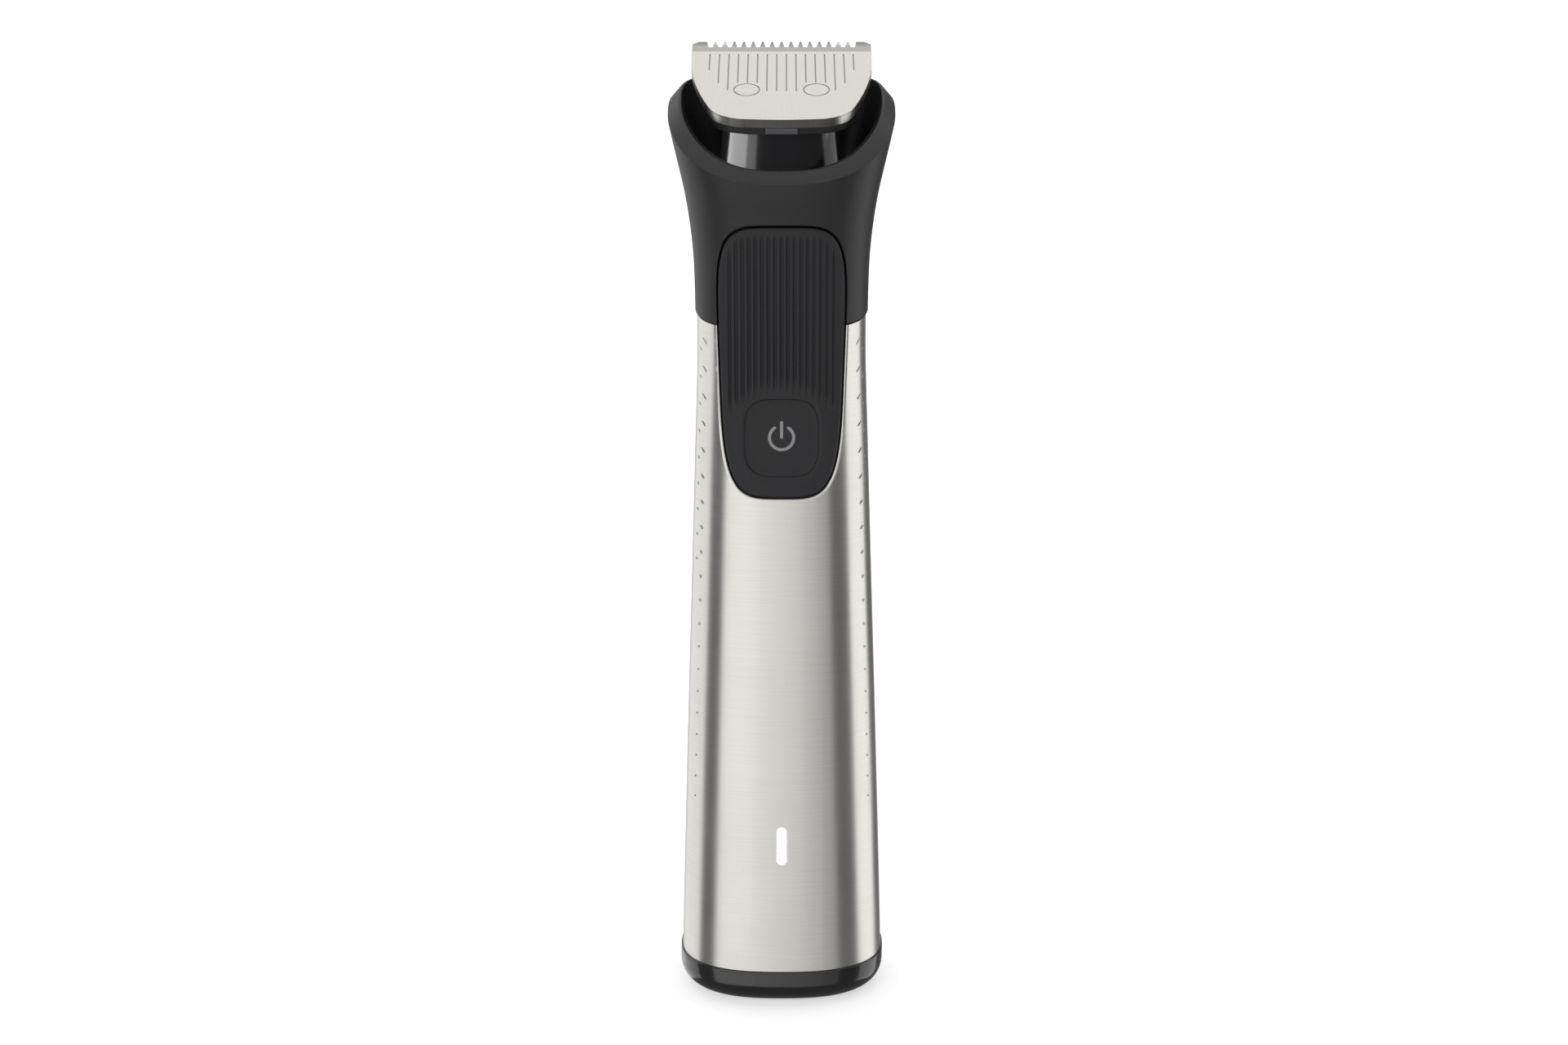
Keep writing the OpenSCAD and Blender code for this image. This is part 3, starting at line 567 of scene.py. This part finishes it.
def slot_materials():
    """One finish for each of the record's material slots."""
    metal = {"metallic": 1.0, "shift": 0.08}
    return {
        "guard_steel": guard_steel(),
        "cutter_steel": finish_material(
            "cutter_steel", (0.45, 0.45, 0.44), 0.28, stretch=(0.05, 1, 1), size=6000.0, **metal),
        "spring_steel": finish_material("spring_steel", (0.55, 0.55, 0.54), 0.3, **metal),
        "sleeve_steel": finish_material(
            "sleeve_steel", (0.74, 0.73, 0.695), 0.31, stretch=(0.012, 0.012, 1), size=7000.0,
            detail=3.0, rough_shift=0.05, relief=0.1, relief_height=4e-6,
            aniso=0.7, aniso_turn=0.25, radial="Z", metallic=1.0, shift=0.05),
        "collar_black": collar_black(),
        "pad_charcoal": finish_material(
            "pad_charcoal", (0.016, 0.016, 0.018), 0.56, size=4500.0, shift=0.12, relief=0.35,
            relief_height=1e-5, specular=0.32),
        "neck_black": finish_material(
            "neck_black", (0.004, 0.004, 0.005), 0.18, size=300.0, rough_shift=0.03, relief=0.02,
            coat=0.5),
        "tray_black": finish_material(
            "tray_black", (0.012, 0.012, 0.013), 0.38, size=4000.0, relief=0.2,
            relief_height=6e-6),
        "foot_black": finish_material(
            "foot_black", (0.007, 0.007, 0.008), 0.2, size=4500.0, shift=0.1, relief=0.2,
            relief_height=6e-6, coat=0.6),
        "socket_black": finish_material("socket_black", (0.014, 0.014, 0.015), 0.4, size=4000.0),
        "symbol_print": finish_material(
            "symbol_print", (0.2, 0.2, 0.205), 0.5, size=6000.0, relief=0.1),
        "lens_white": glowing("lens_white", (0.97, 0.98, 1.0), 1.1),
        "seal_rubber": finish_material("seal_rubber", (0.018, 0.018, 0.018), 0.7, size=3500.0),
        "driver_white": finish_material("driver_white", (0.75, 0.73, 0.66), 0.4, size=2500.0),
        "frame_grey": finish_material("frame_grey", (0.1, 0.1, 0.11), 0.5, size=3500.0),
        "screw_steel": finish_material("screw_steel", (0.55, 0.55, 0.56), 0.3, size=3000.0,
                                       **metal),
        "cell_wrap": finish_material("cell_wrap", (0.03, 0.09, 0.28), 0.25, size=600.0, coat=0.4),
        "tab_nickel": finish_material("tab_nickel", (0.66, 0.63, 0.56), 0.3, size=3000.0,
                                      **metal),
        "board_green": finish_material("board_green", (0.012, 0.11, 0.05), 0.3, size=1500.0,
                                       coat=0.3),
        "chip_black": finish_material("chip_black", (0.02, 0.02, 0.02), 0.45, size=5000.0),
        "pin_gold": finish_material("pin_gold", (0.83, 0.62, 0.27), 0.22, size=3000.0, **metal),
        "can_zinc": finish_material(
            "can_zinc", (0.56, 0.56, 0.57), 0.32, stretch=(0.1, 0.1, 1), size=3000.0, **metal),
        "magnet_dark": finish_material("magnet_dark", (0.06, 0.06, 0.065), 0.6, size=3500.0,
                                       metallic=0.6),
        "bush_bronze": finish_material("bush_bronze", (0.5, 0.34, 0.16), 0.4, size=5000.0,
                                       **metal),
        "brush_copper": finish_material("brush_copper", (0.5, 0.26, 0.14), 0.45, size=5000.0,
                                        **metal),
        "core_steel": finish_material(
            "core_steel", (0.32, 0.32, 0.33), 0.4, stretch=(0.02, 0.02, 1), size=4000.0, **metal),
        "copper_wire": finish_material(
            "copper_wire", (0.55, 0.21, 0.08), 0.3, stretch=(1, 1, 0.2), size=4000.0, relief=0.5,
            **metal),
        "shaft_steel": finish_material(
            "shaft_steel", (0.68, 0.68, 0.69), 0.16, stretch=(0.1, 0.1, 1), size=4000.0, **metal),
        "lead_red": finish_material("lead_red", (0.4, 0.015, 0.015), 0.45, size=3000.0),
        "lead_black": finish_material("lead_black", (0.02, 0.02, 0.02), 0.45, size=3000.0),
    }


materials = slot_materials()
slot_of = {s["node"]: s["material_slot"] for s in frame["record"]["subparts"]}
body_of = {n: b for b, members in frame["record"]["behaviour"]["bodies"].items() for n in members}


def dress(obj, node, material=None):
    """Puts a piece in its CAD node's place, body and material slot."""
    obj.data.materials.clear()
    obj.data.materials.append(material or materials[slot_of[node]])
    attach(obj, body_of[node])
    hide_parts(node)
    return obj


def dress_frame():
    for name, obj in frame["nodes"].items():
        obj.data.materials.clear()
        obj.data.materials.append(materials[slot_of[name]])


# ---- Shells ----

AROUND = 288


def pad_cutter(name, deep, surface, flare):
    """A pad-shaped cutter that widens at the surface's inset by (growth, depth) steps."""
    steps = [(0, deep - surface), *flare]
    (g0, d0), (g1, d1) = steps[-2:]
    beyond = 1.5
    steps.append((g1 + (g1 - g0) * beyond, d1 + (d1 - d0) * beyond))
    steps.append((steps[-1][0], -3))
    rings = []
    for grow, depth in steps:
        x, z = from_bottom(pad_outline, 560, PAD_GAP + grow)
        rings.append(np.stack([x, face_y(x, z, surface + depth), z], -1))
    return make(name, *ring_mesh(rings))


def light_slot():
    a = turns(96)
    surface = float(face_y(0, LED_Z, SLEEVE_INSET))
    rings = []
    for grow, y in [(0, -8), (0, surface + 0.08), (0.1, surface - 0.02), (0.1, -20)]:
        x, z = stadium(a, LENS_R + LENS_GAP + grow, LENS_H + 2 * (LENS_GAP + grow))
        rings.append(np.stack([x, y + 0 * x, LED_Z + z], -1))
    return make("light_slot", *ring_mesh(rings))


def steel_sleeve():
    a = turns(AROUND)
    top = seam_z(a) - GASKET_T
    edge = 0.12
    low = fillet([(0.8, 0), (SLEEVE_INSET, 0), (SLEEVE_INSET, 1)], [edge])
    high = fillet([(SLEEVE_INSET, -1), (SLEEVE_INSET, 0), (SLEEVE_IN, 0)], [edge])
    rows = np.linspace(0, 1, 96)
    rings = [form(FOOT_H + dz, a, i) for i, dz in low]
    rings += [form(FOOT_H + 1 + t * (top - FOOT_H - 2), a, SLEEVE_INSET) for t in rows[1:-1]]
    rings += [form(top + dz, a, i) for i, dz in high]
    rings += [form(FOOT_H + t * (top - FOOT_H), a, SLEEVE_IN) for t in rows[-5::-5]]
    rings.append(form(FOOT_H, a, SLEEVE_IN))
    obj = make("sleeve", *ring_mesh(rings, looped=True))
    rolled = [(0, 0.34), (0.1, 0.17), (0.26, 0.06), (0.5, 0.0)]
    cut(obj, pad_cutter("window", 4.0, SLEEVE_INSET, rolled), light_slot())
    true_normals(obj, SLEEVE_INSET)
    return dress(obj, "steel_sleeve")


def head_collar():
    a = turns(AROUND)
    rim = rim_z(a)
    seam = seam_z(a)
    low = fillet([(WALL_IN, 0), (0, 0), (0, 1)], [0.22])
    lip = fillet([(0, -4), (0, 0), (LIP_IN, LIP_UP), (LIP_IN, -4)], [0.3, 0.4], 6)
    rings = [form(DECK_LOW, a, WALL_IN)]
    rings += [form(seam + dz, a, i) for i, dz in low]
    for t in np.linspace(0.03, 1, 44):
        rings.append(form(seam + 1 + t * (rim - 5 - seam), a, 0))
    for inset, up in lip[1:-1]:
        spot = form(rim + min(up, 0), a, inset)
        spot[:, 2] = rim + up
        rings.append(spot)
    for t in np.linspace(1, 0, 30):
        z = DECK_TOP + t * (rim - 0.6 - DECK_TOP)
        spot = form(z, a, LIP_IN)
        spot[:, 2] = z + t * LIP_UP
        rings.append(spot)
    hole_r = 5
    ring_hole = np.stack(
        [hole_r * np.cos(a), DRIVE_Y + hole_r * np.sin(a), DECK_TOP + 0 * a], -1)
    rings += [ring_hole, ring_hole - [0, 0, DECK_TOP - DECK_LOW]]
    obj = make("collar", *ring_mesh(rings, looped=True))
    soft = [(0, 0.2), (0.06, 0.06), (0.2, 0.0)]
    cut(obj, pad_cutter("pad_seat", PAD_IN + 0.1, 0.0, soft), *screw_seats())
    true_normals(obj, 0.0)
    return dress(obj, "head_collar")


def screw_seats():
    a = turns(48)
    seat_x, seat_y = 8.6, 3.6
    seats = []
    for side in (-1, 1):
        rings = [
            np.stack([side * seat_x + r * np.cos(a), seat_y + r * np.sin(a), z + 0 * a], -1)
            for r, z in [(1.1, 128), (1.1, 130.8), (2.0, 130.8), (2.0, 134)]
        ]
        seats.append(make("screw_seat", *ring_mesh(rings)))
    return seats


def foot_cap():
    a = turns(AROUND)
    hole_w, hole_d, hole_r = 6.1, 4.1, 2.0
    hx = np.clip(hole_w * 1.6 * np.cos(a), -(hole_w - hole_r), hole_w - hole_r)
    hy = np.clip(hole_d * 1.9 * np.sin(a), -(hole_d - hole_r), hole_d - hole_r)
    hole = np.stack([hx + hole_r * np.cos(a), hy + hole_r * np.sin(a), 0 * a], -1)
    rings = [hole + [0, 0, 2.4], hole + [0, 0, 0.15], hole * [1.015, 1.015, 1]]
    for k in range(13):
        t = math.radians(7.5 * k)
        rings.append(form(FOOT_R * (1 - math.cos(t)), a, FOOT_R * (1 - math.sin(t))))
    top = fillet([(0, 5.4), (0, FOOT_H), (1.25, FOOT_H)], [0.2])
    rings += [form(z, a, i) for i, z in top]
    for inset, z in [(1.25, 8.4), (2.15, 8.4), (2.15, 9.8), (1.25, 9.8), (1.25, 11.8),
                     (1.45, 12), (3.4, 12), (3.4, 3.4), (4.4, 2.4)]:
        rings.append(form(z, a, inset))
    return dress(make("foot", *ring_mesh(rings, looped=True)), "foot_cap")


# ---- Pad and button ----

GROOVE_PITCH = 1.06
GROOVE_DEEP = 0.31
GROOVES = 17
PAD_EDGE_R = 0.45
PAD_SHRINK = 0.08          # widens the dark joint round the pad
BUTTON_RIM_R = 0.05


def groove_depth(x, z):
    """Depth of the pad's upright grooves, which run out near its edge and round the button."""
    index = np.round(x / GROOVE_PITCH)
    off = np.abs(x - index * GROOVE_PITCH) / (GROOVE_PITCH / 2)
    shape = ease(1 - off / 0.75)
    half = pad_half(z)
    p = np.where(z < PAD_Z, PAD_LOW_POWER, PAD_TOP_POWER)
    rise = np.clip(np.abs(z - PAD_Z) / PAD_HALF_H, 0, 1)
    room = half * (1 - rise**p) ** (1 / p) - np.abs(x)
    across = np.clip(np.abs(x) / half, 0, 1) ** PAD_TOP_POWER
    top = PAD_Z + PAD_HALF_H * (1 - across) ** (1 / PAD_TOP_POWER) - z
    edge = ease((room - 0.7) / 0.8) * ease((top - 1.1) / 1.0)
    start = ease((z - (BUTTON_Z + 7.2 - 0.055 * x * x)) / 3.2)
    inside = np.abs(index) <= (GROOVES - 1) / 2
    return GROOVE_DEEP * shape * edge * start * inside


def grip_pad():
    count = 1000
    inner_x, inner_z = from_bottom(button_outline, count)
    outer_x, outer_z = from_bottom(pad_outline, count, -PAD_SHRINK)
    reach = np.hypot(outer_x - inner_x, outer_z - inner_z)

    def ring(u, inset=None):
        x = (1 - u) * inner_x + u * outer_x
        z = (1 - u) * inner_z + u * outer_z
        if inset is None:
            rim = np.clip(1 - (1 - u) * reach / PAD_EDGE_R, 0, 1)
            brim = np.clip(1 - u * reach / BUTTON_RIM_R, 0, 1)
            bowl = np.clip(1 - u * reach / 2.2, 0, 1)
            inset = (PAD_EDGE_R * (1 - np.sqrt(1 - 0.999 * rim**2))
                     + BUTTON_RIM_R * (1 - np.sqrt(1 - 0.999 * brim**2))
                     + 0.28 * bowl**2 + groove_depth(x, z) - PAD_PROUD)
        return np.stack([x, face_y(x, z, inset), z], -1)

    start = [0, 0.003, 0.008, 0.015, 0.024, 0.036]
    end = [0.966, 0.974, 0.981, 0.987, 0.992, 0.996, 0.9985, 1]
    steps = [*start, *np.linspace(0.05, 0.958, 74), *end]
    rings = [ring(0, PAD_IN), ring(0, 1.0), *[ring(u) for u in steps], ring(1, 1.0),
             ring(1, PAD_IN)]
    return dress(make("pad", *ring_mesh(rings, looped=True), sharp=60), "grip_pad")


BUTTON_DISH = 0.5
BUTTON_GAP = 0.04


def button_inset(u):
    """How far the button's face lies inside the form, from its centre (0) to its edge (1)."""
    recess, edge_r, edge_from = 0.06, 0.05, 0.99
    edge = np.clip((u - edge_from) / (1 - edge_from), 0, 1)
    return BUTTON_DISH * (1 - u**5) + recess + edge_r * (1 - np.sqrt(1 - 0.999 * edge**2))


def power_button():
    outline_x, outline_z = from_bottom(button_outline, 480, -BUTTON_GAP)
    flange_x, flange_z = from_bottom(button_outline, 480, 0.8)

    def ring(u, inset, flange=False):
        x, z = (flange_x, flange_z) if flange else (outline_x, outline_z)
        x, z = u * x, BUTTON_Z + u * (z - BUTTON_Z)
        return np.stack([x, face_y(x, z, inset), z], -1)

    steps = [*np.linspace(0.02, 0.965, 44), 0.972, 0.979, 0.985, 0.99, 0.995, 0.9985, 1]
    rings = [ring(u, button_inset(u)) for u in steps]
    rings += [ring(1, PAD_IN + 0.1), ring(1, PAD_IN + 0.1, True),
              ring(1, PAD_IN + 0.7, True), ring(0.05, PAD_IN + 0.7, True)]
    return dress(make("button", *ring_mesh(rings), sharp=50), "power_button")


def stroke(path, width):
    """Offset lines of a round-ended stroke along a path given as a function of length."""
    point, length = path
    half = width / 2
    cap = half * (1 - np.cos(np.linspace(0.05, math.pi / 2, 7)))
    along = np.concatenate(
        [cap - half, np.linspace(0, length, 90)[1:-1], (length + half) - cap[::-1]])
    beyond = np.maximum(np.maximum(-along, along - length), 0)
    reach = np.sqrt(np.maximum(half**2 - beyond**2, 0))
    x, z, nx, nz = point(along)
    return [(x + s * reach * nx, z + s * reach * nz) for s in np.linspace(-1, 1, 5)]


def power_symbol():
    """A broken ring and a bar, printed on the button's face."""
    ring_r, line, lift, thick = 2.0, 0.5, 0.012, 0.08
    bar_low, bar_len = 0.1, 2.45
    face_w, face_h = 6.0, 6.4
    span = math.radians(290)

    def ring(s):
        t = s / ring_r - math.pi / 2 - span / 2
        return ring_r * np.cos(t), ring_r * np.sin(t), np.cos(t), np.sin(t)

    def bar(s):
        return 0 * s, s + bar_low, 1 + 0 * s, 0 * s

    verts, faces = [], []
    for path in ((ring, span * ring_r), (bar, bar_len)):
        lines = stroke(path, line)
        base, n, rows = len(verts), len(lines[0][0]), len(lines)
        for layer in (0, 1):
            for x, z in lines:
                u = (np.abs(x / face_w) ** BUTTON_POWER
                     + np.abs(z / face_h) ** BUTTON_POWER) ** (1 / BUTTON_POWER)
                y = face_y(x, z + BUTTON_Z, button_inset(u) - lift + layer * thick)
                verts.extend(np.stack([x, y, z + BUTTON_Z], -1))

        def at(layer, row, i):
            return base + (layer * rows + row) * n + i

        for i in range(n - 1):
            for row in range(rows - 1):
                for layer in (0, 1):
                    faces.append((at(layer, row, i), at(layer, row, i + 1),
                                  at(layer, row + 1, i + 1), at(layer, row + 1, i)))
            for row in (0, rows - 1):
                faces.append((at(0, row, i), at(0, row, i + 1), at(1, row, i + 1), at(1, row, i)))
        for row in range(rows - 1):
            for i in (0, n - 1):
                faces.append((at(0, row, i), at(0, row + 1, i), at(1, row + 1, i), at(1, row, i)))
    return dress(make("symbol", verts, faces), "power_symbol")


def indicator_lens():
    a = turns(96)
    front = float(face_y(0, LED_Z, SLEEVE_INSET))
    rings = []
    for grow, y in [(0, -8.7), (0, front + 0.12), (-0.03, front + 0.03), (-0.1, front - 0.02),
                    (-0.25, front - 0.035), (-0.5, front - 0.04), (-0.7, front - 0.04)]:
        x, z = stadium(a, LENS_R + grow, LENS_H + 2 * grow)
        rings.append(np.stack([x, y + 0 * x, LED_Z + z], -1))
    return dress(make("indicator", *ring_mesh(rings), sharp=70), "indicator_lens")


# ---- Marks along the sides of the sleeve ----

MARK_PITCH = 4.7           # at the top, closing up lower down
MARK_TOP = 117.0
MARK_ROWS = 20
MARK_FADE_ROWS = 13
MARK_PAIRED_ROWS = 9
MARK_POINTS = 8


def sleeve_marks():
    """Slanting dashes along both sides, front and back, which shrink to dots lower down."""
    verts, faces = [], []
    for row in range(MARK_ROWS):
        z = MARK_TOP - row * MARK_PITCH + 0.0275 * row * (row - 1)
        fade = max(1 - row / MARK_FADE_ROWS, 0)
        length = 0.36 + 1.3 * fade
        columns = 2 if row < MARK_PAIRED_ROWS else 1
        for side in (-1, 1):
            for back in (-1, 1):
                for column in range(columns):
                    turn_at = math.radians(29 - 8 * column)
                    add_mark(verts, faces, side, back, turn_at, z - 1.5 * column,
                             length * (1 - 0.4 * column), fade)
    obj = make("sleeve_marks", verts, faces, sharp=20)
    obj.data.materials.append(finish_material(
        "mark_grey", (0.42, 0.415, 0.4), 0.45, size=6000.0, metallic=0.8))
    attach(obj, "handle")
    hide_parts("steel_sleeve")
    return obj


def add_mark(verts, faces, side, back, turn_at, z, length, fade):
    """One pointed dash, a thin plate on the sleeve's face."""
    half_t, proud, sunk = 0.11, 0.012, 0.05
    lean = -0.95 * min(2 * fade, 1)
    n, base = MARK_POINTS, len(verts)
    shape = []
    for k in range(n):
        t = 2 * math.pi * k / n
        s = length / 2 * math.cos(t)
        shape.append((s * math.sin(lean) + half_t * math.sin(t) * math.cos(lean),
                      s * math.cos(lean) - half_t * math.sin(t) * math.sin(lean)))
    turn_per_mm = 1.3 / float(half_w(z))
    for inset in (SLEEVE_INSET - proud, SLEEVE_INSET + sunk):
        for across, up in shape:
            a = turn_at + across * turn_per_mm
            x, y, height = form(z + up, np.array([a]), inset)[0]
            verts.append((side * x, back * abs(y), height))
    faces.append(tuple(range(base, base + n)))
    faces.append(tuple(range(base + 2 * n - 1, base + n - 1, -1)))
    for k in range(n):
        m = (k + 1) % n
        faces.append((base + k, base + m, base + n + m, base + n + k))


# ---- Cutting head ----

def head_neck():
    a = turns(240)

    def plane_z(y, out=TRAY_LOW):
        return PLATE_Z + (y - PLATE_Y) * math.tan(PLATE_TILT) + out / math.cos(PLATE_TILT)

    def tube(t, inset):
        (lw, ld), (hw, hf, hb) = NECK_LOW, NECK_HIGH
        lx, ly = oval(a, lw - inset, ld - inset, ld - inset, NECK_POWER)
        hx, hy = oval(a, hw - inset, hf - inset, hb - inset, NECK_POWER)
        x, y = (1 - t) * lx + t * hx, (1 - t) * ly + t * hy
        return np.stack([x, y, (1 - t) * NECK_Z + t * plane_z(hy)], -1)

    w, d = NECK_LOW
    hole_r, wall, floor_t = 4.2, 1.5, 1.6
    x, y = oval(a, w - floor_t, d - floor_t, d - floor_t, NECK_POWER)
    inner_floor = np.stack([x, y, NECK_Z + floor_t + 0 * x], -1)
    hole = np.stack([hole_r * np.cos(a), DRIVE_Y + hole_r * np.sin(a), 0 * a], -1)
    low = [tube(0, 0.5), tube(0.004, 0.22), tube(0.012, 0.06), tube(0.03, 0)]
    rings = [hole + [0, 0, NECK_Z], *low, *[tube(t, 0) for t in np.linspace(0.06, 1, 30)],
             *[tube(t, wall) for t in np.linspace(1, 0.25, 12)], inner_floor,
             hole + [0, 0, NECK_Z + floor_t]]
    return dress(make("neck", *ring_mesh(rings, looped=True)), "head_neck")


def head_top():
    dress(bevelled("guard", "guard_plate", 0.05), "guard_plate")
    dress(bevelled("tray", "blade_tray", 0.15), "blade_tray")
    # A lighter grey than the tab's slot finish: painted light that makes up for the shade the tab
    # lies in.
    tab_painted_light_grey = finish_material("tab_painted_light_grey", (0.06, 0.06, 0.065), 0.4, size=4000.0, relief=0.2)
    dress(bevelled("tab", "snap_tab", 0.12), "snap_tab", tab_painted_light_grey)


# ---- Studio ----

PANEL_H = 1.9
PANEL_LOW = -0.8
AIM = Vector((0, 0, 0.1))  # what the overhead panels face


def panel(name, location, width, height, radiance, inward):
    """A soft rectangular light of a given brightness that faces inwards."""
    light = bpy.data.lights.new(name, "AREA")
    light.shape = "RECTANGLE"
    light.size = width
    light.size_y = height
    light.energy = radiance * math.pi * width * height
    obj = bpy.data.objects.new(name, light)
    obj.location = location
    obj.rotation_euler = inward.to_track_quat("-Z", "Y").to_euler()
    bpy.context.scene.collection.objects.link(obj)
    return obj


def softbox(name, azimuth, distance, width, radiance):
    """An upright panel that faces the object, at an azimuth from the front, in degrees."""
    angle = math.radians(azimuth)
    x, y = distance * math.sin(angle), -distance * math.cos(angle)
    return panel(name, (x, y, PANEL_LOW + PANEL_H / 2), width, PANEL_H, radiance,
                 Vector((-x, -y, 0)))


def overhead(name, location, width, height, radiance):
    """A panel above the object that faces it."""
    return panel(name, location, width, height, radiance, AIM - Vector(location))


def light_group(name, piece, state):
    """A collection that makes a light include or exclude one piece."""
    group = bpy.data.collections.new(name)
    group.objects.link(piece)
    group.collection_objects[0].light_linking.link_state = state
    return group


def studio(neck, collar):
    """Broad panels round the object. The glossy neck has strips of its own instead of the front's,
    which reach it past the collar."""
    world = bpy.data.worlds.new("studio")
    bpy.context.scene.world = world
    world.use_nodes = True
    background = world.node_tree.nodes["Background"]
    background.inputs["Color"].default_value = WHITE
    background.inputs["Strength"].default_value = 0.13
    front, side, neck_strip = 1.0, 0.9, 0.8
    beside_neck = light_group("beside_neck", neck, "EXCLUDE")
    on_neck = light_group("on_neck", neck, "INCLUDE")
    past_collar = light_group("past_collar", collar, "EXCLUDE")
    for name, azimuth, width, radiance in [
        ("key", -36, 0.81, 1.0), ("fill_1", -7, 0.246, 0.86), ("fill_2", 6, 0.21, 0.68),
        ("fill_3", 19, 0.246, 0.52), ("fill_4", 34, 0.281, 0.36),
    ]:
        light = softbox(name, azimuth, front, width, radiance)
        light.light_linking.receiver_collection = beside_neck
    softbox("left_side", -124, side, 1.21, 0.82)
    softbox("right_side", 102, side, 0.84, 1.0)
    for name, azimuth, width, radiance in [
        ("neck_left", -76, 1.16, 5.0), ("neck_fade", -30, 0.28, 1.8), ("neck_right", 92, 0.92, 0.9),
    ]:
        light = softbox(name, azimuth, neck_strip, width, radiance)
        light.light_linking.receiver_collection = on_neck
        light.light_linking.blocker_collection = past_collar
    softbox("rear", 180, side, 0.6, 0.5)
    overhead("top", (0, 0.3, 1.15), 1.5, 1.3, 0.82)
    overhead("front_top", (0, -0.75, 1.1), 1.1, 0.6, 0.25)
    floor()
    backdrop()
    bpy.context.scene.view_settings.view_transform = "Standard"


def paper(name, base, roughness):
    """A material without shine that can glow white."""
    material = bpy.data.materials.new(name)
    tree, _, links, shader = nodes_of(material)
    shader.inputs["Base Color"].default_value = base
    shader.inputs["Roughness"].default_value = roughness
    shader.inputs["Specular IOR Level"].default_value = 0.0
    shader.inputs["Emission Color"].default_value = WHITE
    return material, tree, links, shader


def stage(name, mesh, material):
    """An object of the studio, which throws no shadow and isn't mirrored."""
    mesh.materials.append(material)
    obj = bpy.data.objects.new(name, mesh)
    bpy.context.scene.collection.objects.link(obj)
    obj.visible_glossy = False
    obj.visible_shadow = False
    return obj


def floor():
    """A wide pale floor that glows a little more the further it is from the object."""
    half = 60.0
    glow, glow_reach = (0.55, 1.0), (0.05, 0.6)
    mesh = bpy.data.meshes.new("floor")
    mesh.from_pydata([(-half, -half, 0), (half, -half, 0), (half, half, 0), (-half, half, 0)],
                     [], [(0, 1, 2, 3)])
    material, tree, links, shader = paper("floor_paper", WHITE, 0.9)
    links.new(tint(tree, noise(tree, (1, 1, 1), 3.0), (0.85, 0.85, 0.85), (0.87, 0.87, 0.87)),
              shader.inputs["Base Color"])
    place = tree.nodes.new("ShaderNodeTexCoord")
    length = tree.nodes.new("ShaderNodeVectorMath")
    length.operation = "LENGTH"
    links.new(place.outputs["Object"], length.inputs[0])
    links.new(spread(tree, length.outputs["Value"], *glow, *glow_reach),
              shader.inputs["Emission Strength"])
    stage("floor", mesh, material)


def backdrop():
    """A plain bright dome that carries on from the floor. It lights nothing."""
    mesh = bpy.data.meshes.new("backdrop")
    work = bmesh.new()
    bmesh.ops.create_uvsphere(work, u_segments=48, v_segments=24, radius=5)
    work.to_mesh(mesh)
    work.free()
    material, _, _, shader = paper("backdrop_glow", BLACK, 0.5)
    shader.inputs["Emission Strength"].default_value = 1.05
    stage("backdrop", mesh, material).visible_diffuse = False


def camera():
    distance, elevation, target = 0.3756, math.radians(14), Vector((0.0004, 0, 0.0842))
    data = bpy.data.cameras.new("camera")
    data.lens = 50
    data.sensor_width = 36
    data.clip_start = 0.01
    obj = bpy.data.objects.new("camera", data)
    obj.location = target + distance * Vector((0, -math.cos(elevation), math.sin(elevation)))
    obj.rotation_euler = (target - obj.location).to_track_quat("-Z", "Y").to_euler()
    bpy.context.scene.collection.objects.link(obj)
    bpy.context.scene.camera = obj


camera()
dress_frame()
steel_sleeve()
collar = head_collar()
foot_cap()
grip_pad()
power_button()
power_symbol()
indicator_lens()
sleeve_marks()
studio(head_neck(), collar)
head_top()
